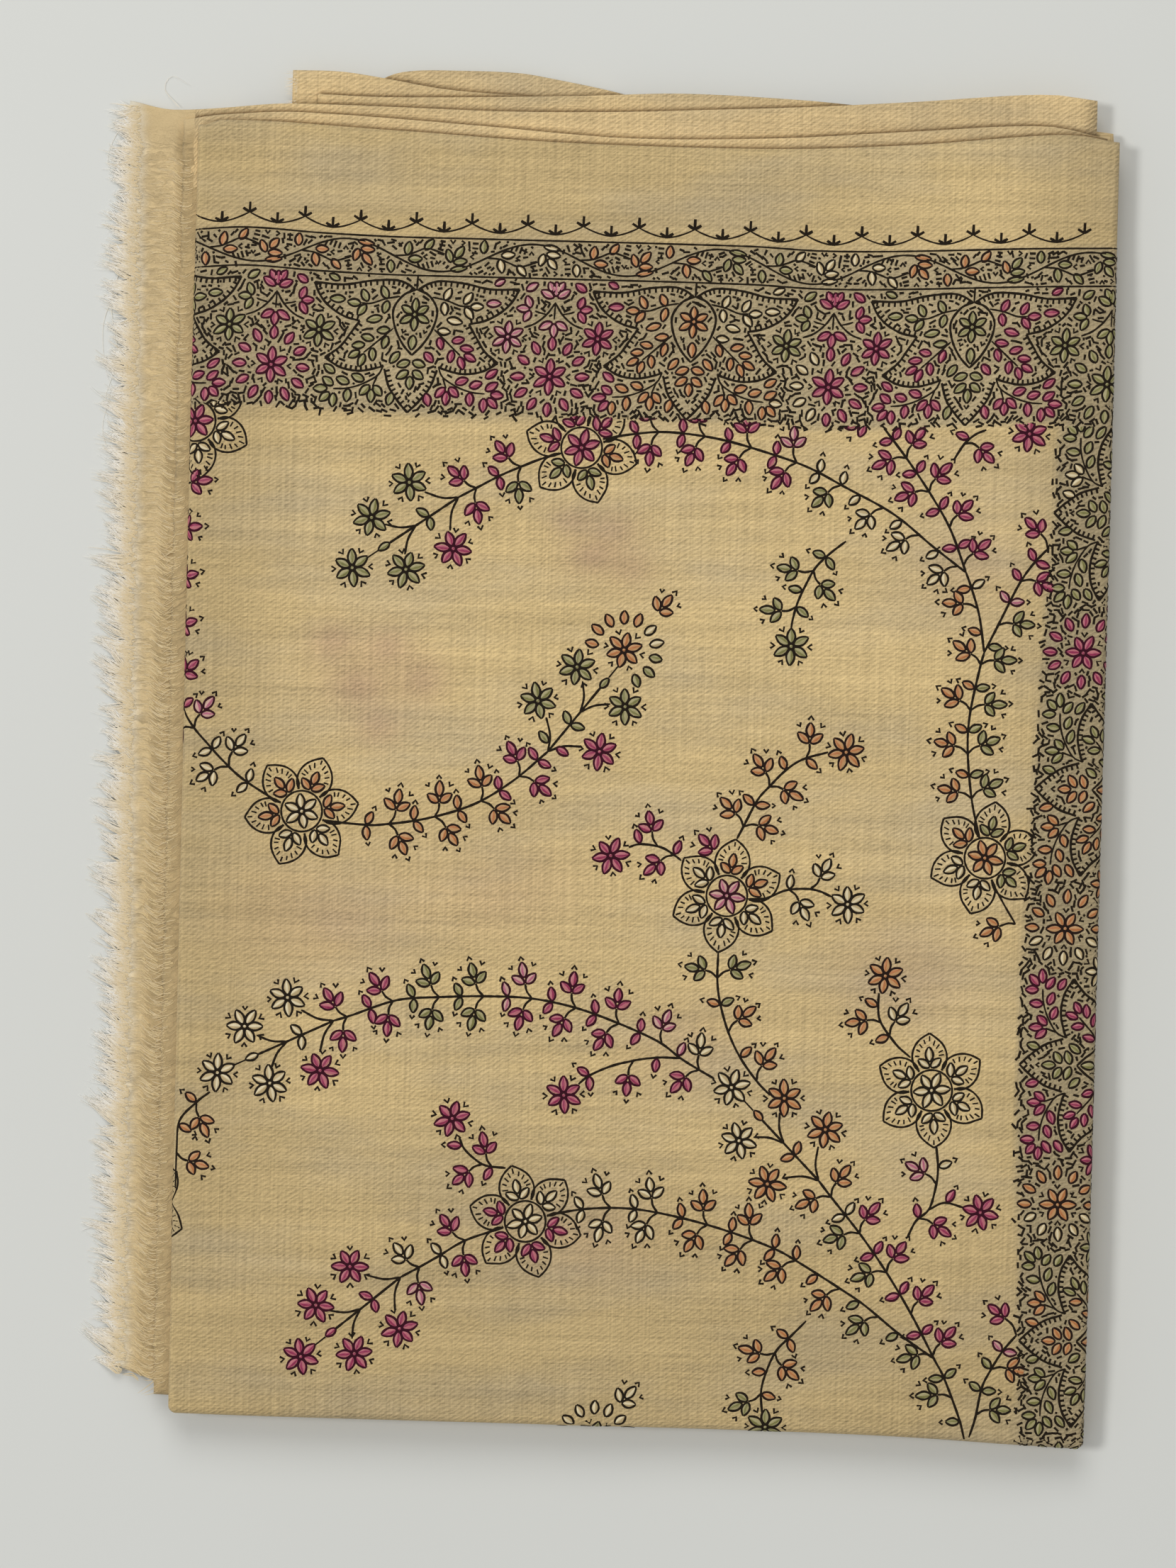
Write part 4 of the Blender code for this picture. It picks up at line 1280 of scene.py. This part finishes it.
def make_layer(name, node, material, layer, edges, grid, back_material=None):
    """A layer of cloth that lies under the panel and shows past its left, right, front or back edge."""
    left, right, front, back = edges
    share_u, share_v = np.meshgrid(*grid)
    v = mix(PACKET_FRONT, PACKET_BACK, share_v)
    for _ in range(4):
        u = mix(left(v), right(v), share_u)
        v = mix(front(u), back(u), share_v)
    points = np.stack([u, v, layer_height(layer)(u, v)], -1)
    piece = cloth_shell(name, points, np.stack([u, v - combed(u, v)], -1), material)
    note(piece, "shaded", shaded(u, v, layer).ravel())
    if back_material:
        # Painted shade: the wool beside the panel's left fold is darkened and made browner, partly its own
        # browner tone
        inside = smooth((u - panel_left(v) + valley_width(v) + 1.0) / 2.0) * smooth((LEFT_BAND_END - v) / 6)
        note(piece, "valley", VALLEY_TINT_AND_SHADE * inside.ravel())
        brushed = smooth((-100 - u) / 12) * smooth((LEFT_BAND_END - v) / 8)
        note(piece, "brushed", mix(0.2, 1.0, brushed).ravel())
        piece.data.materials.append(back_material)
        behind = ((v > BACK_FROM) & (u > panel_left(v) - 1))[1:, 1:].ravel()
        piece.data.polygons.foreach_set("material_index", behind.astype(np.int32))
    if layer == FRINGED_LAYER:
        note(piece, "frayed", 0.85 * smooth(1 - (u - left(v)) / 6.0).ravel())
    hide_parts(node)
    return piece


def make_core(material):
    """All the hidden layers as one form, flat below, with their folds round its edges."""
    share_u, share_v = np.meshgrid(stations((0, 1), (3 / 243,)), stations((0, 1), (3 / 350,)))
    u = mix(CORE_LEFT, CORE_RIGHT, share_u)
    v = mix(panel_front(u) + CORE_FRONT_SETBACK, CORE_BACK, share_v)
    hollow = smooth((v - HOLLOW_FROM_V) / (HOLLOW_TO_V - HOLLOW_FROM_V))
    hollow = hollow * smooth((u - HOLLOW_LEFT + HOLLOW_BLEND) / HOLLOW_BLEND)
    hollow = hollow * smooth((HOLLOW_RIGHT + HOLLOW_BLEND - u) / HOLLOW_BLEND)
    z = layer_height(FRINGED_LAYER + 1)(u, v) - (HUMP_LAYER - STRIP_LAYER + 1) * LAYER_STEP * hollow
    rows, columns = u.shape
    index = np.arange(rows * columns).reshape(rows, columns)
    border = np.concatenate([index[0, :-1], index[:-1, -1], index[-1, :0:-1], index[:0:-1, 0]])
    points = np.stack([u, v, z], -1).reshape(-1, 3)
    rim = points[border]
    along = np.roll(rim, -1, 0) - np.roll(rim, 1, 0)
    outward = np.stack([along[:, 1], -along[:, 0], np.zeros(len(rim))], -1)
    outward /= np.linalg.norm(outward, axis=1, keepdims=True)
    around = np.concatenate([[0], np.cumsum(np.linalg.norm(np.diff(rim, axis=0), axis=1))])
    faces = grid_faces(rows, columns).tolist()
    all_points, cloth, crease_shade = [points], [points[:, :2]], [np.zeros(len(points))]
    above = border
    places = (0.04, 0.14, 0.3, 0.5, 0.7, 0.86, 0.96, 1.0)
    for fold in range(CORE_FOLDS):
        change = 0.65 * np.sin(1.9 * fold + rim[:, 0] / 70 + rim[:, 1] / 95)
        change += 0.35 * np.sin(4.1 * fold + rim[:, 0] / 23 - rim[:, 1] / 31)
        for place in places:
            out_share = math.sqrt(max(0.0, 1 - (2 * place - 1) ** 2))
            out = out_share * (CORE_BULGE + CORE_BULGE_CHANGE * change)
            share = max(0.0, 1 - (fold + place) / CORE_FOLDS)
            ring = rim + outward * out[:, None]
            sway = 0.30 * np.sin(rim[:, 0] / 31 + rim[:, 1] / 43 + 2.3 * fold) * math.sin(math.pi * share)
            ring = np.column_stack([ring[:, :2], rim[:, 2] * share + sway])
            start = sum(len(part) for part in all_points)
            all_points.append(ring)
            cloth.append(np.column_stack([around, np.full(len(rim), 400 + 9 * fold + 0.7 * place)]))
            crease_shade.append(np.full(len(rim), 1 - out_share))
            below = start + np.arange(len(rim))
            faces += np.stack([np.roll(above, -1), above, below, np.roll(below, -1)], -1).tolist()
            above = below
    faces.append(above[::-1].tolist())
    piece = new_piece("core_cloth", np.concatenate(all_points), faces, material)
    cloth = np.concatenate(cloth)
    note(piece, "cloth", np.column_stack([cloth, np.zeros(len(cloth))]))
    # Painted shade: the wool is darkened towards the crease between each fold and the next
    note(piece, "valley", np.concatenate(crease_shade))
    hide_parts("folded_core")
    return piece


# Loose yarn. A pair is the least and the most of a measure, or for a slant its middle and spread.

# The wisps of the fringed end: where they start and end, their size, and the pitch of their yarns
END_FRINGE_FROM, END_FRINGE_TO = -163.0, 178.5
WISP_WIDTHS, WISP_REACH, WISP_SLANT = (1.4, 4.6), (4.4, 8.2), (0.42, 0.16)
WISP_PITCH = 0.072

# Loose threads over the table, as places with their heights, and each one's thickness
LOOSE_THREADS = (
    (((-142, 140, 0.5), (-145.5, 136, 0.3), (-148, 126, 0.3), (-146, 112, 0.3), (-149, 100, 0.3),
      (-146.5, 90, 0.3)), 0.16),
    (((-141, 134, 0.6), (-146, 130, 0.3), (-150, 121, 0.3), (-149, 108, 0.3), (-145.5, 101, 0.3)), 0.13),
    (((-141, 88, 0.6), (-146, 84, 0.3), (-149.5, 92, 0.3), (-147.5, 103, 0.3)), 0.13),
    (((-131, 180, 1.5), (-135, 185, 0.4), (-133, 188.5, 0.4), (-128, 186, 0.4)), 0.14),
    (((-140, 177, 0.8), (-146, 175, 0.3), (-150, 166, 0.3), (-147, 158, 0.3)), 0.13),
)

# The second end's frayed yarns, the nap beside the panel and the corner's fuzz
SECOND_FRINGE_FROM, SECOND_FRINGE_TO = -168.0, 64.0
SECOND_REACH, SECOND_SLANT = (1.2, 3.4), (-0.55, 0.30)
NAP_HAIRS, NAP_LENGTHS, NAP_END = 2100, (1.6, 5.2), 166
CORNER_YARNS, CORNER_REACH = 70, (0.8, 2.4)


class Yarns:
    """Thin flattened yarns, each along its own line."""

    def __init__(self):
        self.points, self.faces, self.stitch = [], [], []
        self.count = 0

    def add(self, line, thick, pale):
        """Adds a yarn along a line, so thick and with how pale it is at its root and at its tip."""
        line = np.asarray(line, float)
        along = np.gradient(line, axis=0)
        side = np.column_stack([along[:, 1], -along[:, 0]])
        side /= np.maximum(np.linalg.norm(side, axis=1, keepdims=True), 1e-6)
        share = np.linspace(0, 1, len(line))
        half = 0.5 * thick * (1 - 0.7 * share**2)
        wide = np.column_stack([side * half[:, None], -0.2 * half])
        tall = np.column_stack([0 * side, 0.45 * half])
        rows = np.stack([line - wide * (1, 1, -1), line + tall, line + wide], 1)
        self.points.append(rows.reshape(-1, 3))
        index = self.count + np.arange(len(line) * 3).reshape(-1, 3)
        index = np.column_stack([index, index[:, 0]])
        corners = (index[:-1, :-1], index[:-1, 1:], index[1:, 1:], index[1:, :-1])
        self.faces.append(np.stack(corners, -1).reshape(-1, 4))
        tones = mix(pale[0], pale[1] * draw.uniform(0.8, 1.0), share**0.9)
        length = share * 9 + draw.uniform(0, 200)
        self.stitch.append(np.column_stack([length, tones, 0 * tones]).repeat(3, 0))
        self.count += len(line) * 3

    def make(self, name, material, node):
        """All the yarns as one piece that stands for a node."""
        points, faces = np.concatenate(self.points), np.concatenate(self.faces)
        piece = new_piece(name, points, faces, material)
        piece.data.shade_flat()
        note(piece, "stitch", np.concatenate(self.stitch))
        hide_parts(node)
        return piece


def end_edge(v):
    """The fringed end's ragged left edge."""
    wander = 0.35 * np.sin(v * 0.9) + 0.3 * np.sin(v * 0.37 + 2.0) + 0.2 * np.sin(v * 2.3 + 1.0)
    return side_edge(FRINGED_LEFT_FRONT, FRINGED_LEFT_BACK)(v) + wander


def second_edge(v):
    """The second end's frayed left edge."""
    wander = 0.18 * np.sin(v * 0.7) + 0.15 * np.sin(v * 0.31 + 2.0)
    return side_edge(SECOND_LEFT_FRONT, SECOND_LEFT_BACK)(v) + wander


def bent(start, end, bend, root_u, height):
    """A bent yarn, with the height that a place has and how far it is past the edge."""
    line = []
    for share in np.linspace(0, 1, 6):
        u, v = mix(start, end, share) + (0.0, bend * math.sin(math.pi * share))
        line.append((u, v, height(u, v, max(0.0, root_u - u))))
    return line


def make_end_fringe(material):
    """Soft wisps of yarn past the fringed end, combed up and to the left over the table."""
    yarns = Yarns()
    cloth = layer_height(FRINGED_LAYER)
    v = END_FRINGE_FROM
    while v < END_FRINGE_TO:
        width = draw.uniform(*WISP_WIDTHS)
        reach = draw.uniform(*WISP_REACH) * (1.15 if draw.random() < 0.3 else 0.92)
        slant = draw.gauss(*WISP_SLANT)
        tip = np.array((float(end_edge(v)) - reach, v + 0.5 * width + reach * slant))
        for _ in range(int(width / WISP_PITCH)):
            share = draw.random()
            root_v = v + width * (share * 1.5 - 0.25)
            root_u = float(end_edge(root_v))

            def height(u, v, past):
                top = float(cloth(max(u, root_u), v)) + 0.10
                return max(0.3, mix(top, 0.35 + 0.3 * draw.random(), float(smooth(past / 4.2))))

            astray = 0.22 + 0.07 * width
            end = tip + (draw.uniform(-0.6, 2.6) + abs(share - 0.5) * 1.8, draw.gauss(0, astray))
            if draw.random() < 0.15:
                end += (draw.uniform(-2.4, -0.4), draw.gauss(0, 1.1))
            inside = draw.uniform(0.4, 3.2)
            start = np.array((root_u + inside, root_v - 0.12 * inside + draw.gauss(0, 0.15)))
            line = bent(start, end, draw.gauss(-0.25, 0.4), root_u, height)
            yarns.add(line, draw.uniform(0.16, 0.32), (0.1, draw.uniform(0.75, 1.25)))
        v += width * draw.uniform(0.78, 0.98)
    for points, thick in LOOSE_THREADS:
        xy = rounded(np.array(points)[:, :2], 1.5)
        z = np.interp(np.linspace(0, 1, len(xy)), np.linspace(0, 1, len(points)), [p[2] for p in points])
        yarns.add(np.column_stack([xy, z]), thick, (0.5, 0.9))
    return yarns.make("end_yarn", material, "end_fringe")


def make_second_fringe(material):
    """Short frayed yarns along the second end, lying down over the fringed end."""
    yarns = Yarns()
    under = layer_height(FRINGED_LAYER)
    over = layer_height(SECOND_LAYER)
    v = SECOND_FRINGE_FROM
    while v < SECOND_FRINGE_TO:
        root_u = float(second_edge(v))

        def height(u, v, past):
            high = float(over(max(u, root_u), v)) + 0.1
            return mix(high, float(under(u, v)) + 0.22, float(smooth(past / 2.4)))

        reach = draw.uniform(*SECOND_REACH) * (1.35 if draw.random() < 0.15 else 1.0)
        slant = draw.gauss(*SECOND_SLANT)
        curl = draw.gauss(0, 0.35)
        start = np.array((root_u + draw.uniform(0.2, 1.2), v))
        end = np.array((root_u - reach, v + reach * slant))
        yarns.add(bent(start, end, curl, root_u, height), draw.uniform(0.14, 0.24), (0.0, 0.15))
        v += draw.uniform(0.5, 1.6)
    # The brushed nap of the strip beside the panel, combed in arcs that sag between its sides
    for _ in range(NAP_HAIRS):
        v = draw.uniform(-NAP_END, NAP_END)
        edge = float(second_edge(v))
        u = draw.uniform(edge - 6.0, float(panel_left(v)) - 1.0)
        rise = draw.gauss(0, 0.3)
        line = []
        for step in np.linspace(0, draw.uniform(*NAP_LENGTHS), 6):
            to_u = u - step
            to_v = v + float(combed(to_u, v) - combed(u, v)) + rise * math.sin(0.9 * step)
            high = over(to_u, to_v) if to_u > edge else under(to_u, to_v)
            line.append((to_u, to_v, float(high) + 0.10 - 0.02 * step))
        yarns.add(line, draw.uniform(0.14, 0.28), (0.0, draw.uniform(0.0, 0.3)))
    return yarns.make("second_yarn", material, "second_fringe")


def make_back_fringe(material):
    """The fuzz on the cut edge of the end that shows at the back."""
    yarns = Yarns()
    cloth = layer_height(END_LAYER)
    edge_u = END_BACK[0][0]
    for _ in range(CORNER_YARNS):
        v = draw.uniform(171, 190)
        start_u = edge_u + draw.uniform(0.2, 1.6)
        reach = draw.uniform(*CORNER_REACH)
        slant = draw.gauss(-0.1, 0.4)
        line = [
            (mix(start_u, edge_u - reach, w), v + slant * reach * w,
             float(cloth(edge_u + 0.2, v)) + 0.12 - 0.5 * w)
            for w in np.linspace(0, 1, 5)
        ]
        yarns.add(line, draw.uniform(0.13, 0.22), (0.2, 0.8))
    return yarns.make("back_yarn", material, "back_end_fringe")


# Stage: the table's half width, in metres
FLOOR_HALF = 30


def make_floor():
    """A plain pale table top."""
    shades = Shades("pale_table")
    place = shades.add("ShaderNodeTexCoord").outputs["Object"]
    soft = shades.noise(place, (3.0, 3.0, 3.0), 3.0)
    base = shades.blend(tone(226, 227, 221), tone(234, 235, 230), soft)
    mesh = bpy.data.meshes.new("table")
    corners = [(-FLOOR_HALF, -FLOOR_HALF, 0), (FLOOR_HALF, -FLOOR_HALF, 0),
               (FLOOR_HALF, FLOOR_HALF, 0), (-FLOOR_HALF, FLOOR_HALF, 0)]
    mesh.from_pydata(corners, [], [(0, 1, 2, 3)])
    mesh.materials.append(shades.surface(base, 0.6, 0.5))
    table = bpy.data.objects.new("table", mesh)
    bpy.context.scene.collection.objects.link(table)


def make_light(name, place, size, power):
    """A round lamp that faces the middle of the packet."""
    data = bpy.data.lights.new(name, "AREA")
    data.shape = "DISK"
    data.size = size
    data.energy = power
    light = bpy.data.objects.new(name, data)
    light.location = place
    tilt = math.atan2(math.hypot(place[0], place[1]), place[2])
    light.rotation_euler = (tilt, 0.0, math.atan2(place[0], -place[1]))
    bpy.context.scene.collection.objects.link(light)


# The view from above, in metres: its middle, the level it is measured at, and how far it reaches
VIEW_MIDDLE = (-0.0007, -0.0084)
VIEW_LEVEL, VIEW_REACH = 0.0140, 0.4221


def make_camera():
    """Straight above, as in the photograph, with a long lens."""
    data = bpy.data.cameras.new("camera")
    data.sensor_fit = "VERTICAL"
    data.sensor_height = 36
    data.lens = 120
    camera = bpy.data.objects.new("camera", data)
    camera.location = (*VIEW_MIDDLE, VIEW_LEVEL + VIEW_REACH * data.lens / data.sensor_height)
    camera.rotation_euler = (0.0, 0.0, math.radians(1.5))
    bpy.context.scene.collection.objects.link(camera)
    bpy.context.scene.camera = camera


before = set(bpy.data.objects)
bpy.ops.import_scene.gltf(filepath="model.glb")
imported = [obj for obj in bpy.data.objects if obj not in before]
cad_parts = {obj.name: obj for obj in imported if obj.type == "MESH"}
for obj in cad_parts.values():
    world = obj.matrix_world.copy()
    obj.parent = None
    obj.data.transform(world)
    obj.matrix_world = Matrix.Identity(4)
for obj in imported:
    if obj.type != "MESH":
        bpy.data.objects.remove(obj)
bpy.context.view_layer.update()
shift_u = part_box("second_end")[1][0] / MM - SECOND_RIGHT
shift_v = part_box("back_layer")[0][1] / MM - TUCK_FRONT

panel_cloth = cloth_material(
    "panel_twill", tone(210, 184, 132), ground=tone(181, 163, 126), tint=tone(160, 124, 112)
)
plain_cloth = cloth_material("plain_twill", tone(232, 203, 150))
brushed_cloth = wool_material("brushed_wool", tone(217, 192, 145))
yarn = yarn_material()

top = make_top_panel(panel_cloth)
second = make_layer(
    "second_cloth", "second_end", brushed_cloth, SECOND_LAYER,
    (second_edge, fixed(SECOND_RIGHT), lambda u: panel_front(u) + SECOND_SETBACK, curve(SECOND_BACK)),
    (stations((0, 0.04, 0.13, 1), (0.004, 0.008, 0.02)), stations((0, 0.98, 1), (2 / 350, 0.5 / 350))),
    plain_cloth,
)
fringed = make_layer(
    "fringed_cloth", "fringed_end", brushed_cloth, FRINGED_LAYER,
    (end_edge, fixed(FRINGED_RIGHT), curve(FRINGED_FRONT), curve(FRINGED_BACK)),
    (stations((0, 0.1, 0.18, 1), (0.004, 0.008, 0.02)), stations((0, 0.97, 1), (1 / 350, 0.5 / 350))),
    plain_cloth,
)
for name, node, layer, edge in (
    ("strip_cloth", "back_layer", STRIP_LAYER, STRIP_BACK),
    ("corner_cloth", "back_end", END_LAYER, END_BACK),
    ("hump_cloth", "back_fold", HUMP_LAYER, HUMP_BACK),
):
    edges = (fixed(edge[0][0]), fixed(edge[-1][0]), fixed(TUCK_FRONT), curve(edge))
    grid = (stations((0, 1), (0.02,)), stations((0, 0.72, 1), (0.05, 0.0125)))
    make_layer(name, node, plain_cloth, layer, edges, grid)
core = make_core(brushed_cloth)

field()
borders()
ink_thread = ink_material()
work = [ink[name].make(f"ink_{name}", ink_thread) for name in ink]
for name, colour, pale in (
    ("magenta", tone(148, 26, 76), tone(196, 112, 120)),
    ("pink", tone(182, 92, 120), tone(210, 166, 150)),
    ("peach", tone(188, 116, 62), tone(202, 154, 102)),
    ("olive", tone(126, 122, 62), tone(174, 164, 116)),
    ("cream", tone(236, 220, 180), tone(196, 172, 124)),
):
    work.append(threads[name].make(f"silk_{name}", thread_material(f"silk_{name}", colour, pale)))

end_yarn = make_end_fringe(yarn)
second_yarn = make_second_fringe(yarn)
back_yarn = make_back_fringe(yarn)

make_floor()
make_light("main_light", (-2.1, 0.2, 3.5), 0.8, 47.5)
make_light("fill_light", (-0.3, 2.0, 2.4), 2.0, 28.5)
world = bpy.data.worlds.new("studio")
world.use_nodes = True
background = world.node_tree.nodes["Background"]
background.inputs["Color"].default_value = (1.0, 1.0, 1.0, 1.0)
background.inputs["Strength"].default_value = 0.35
bpy.context.scene.world = world
bpy.context.scene.view_settings.view_transform = "Standard"
make_camera()
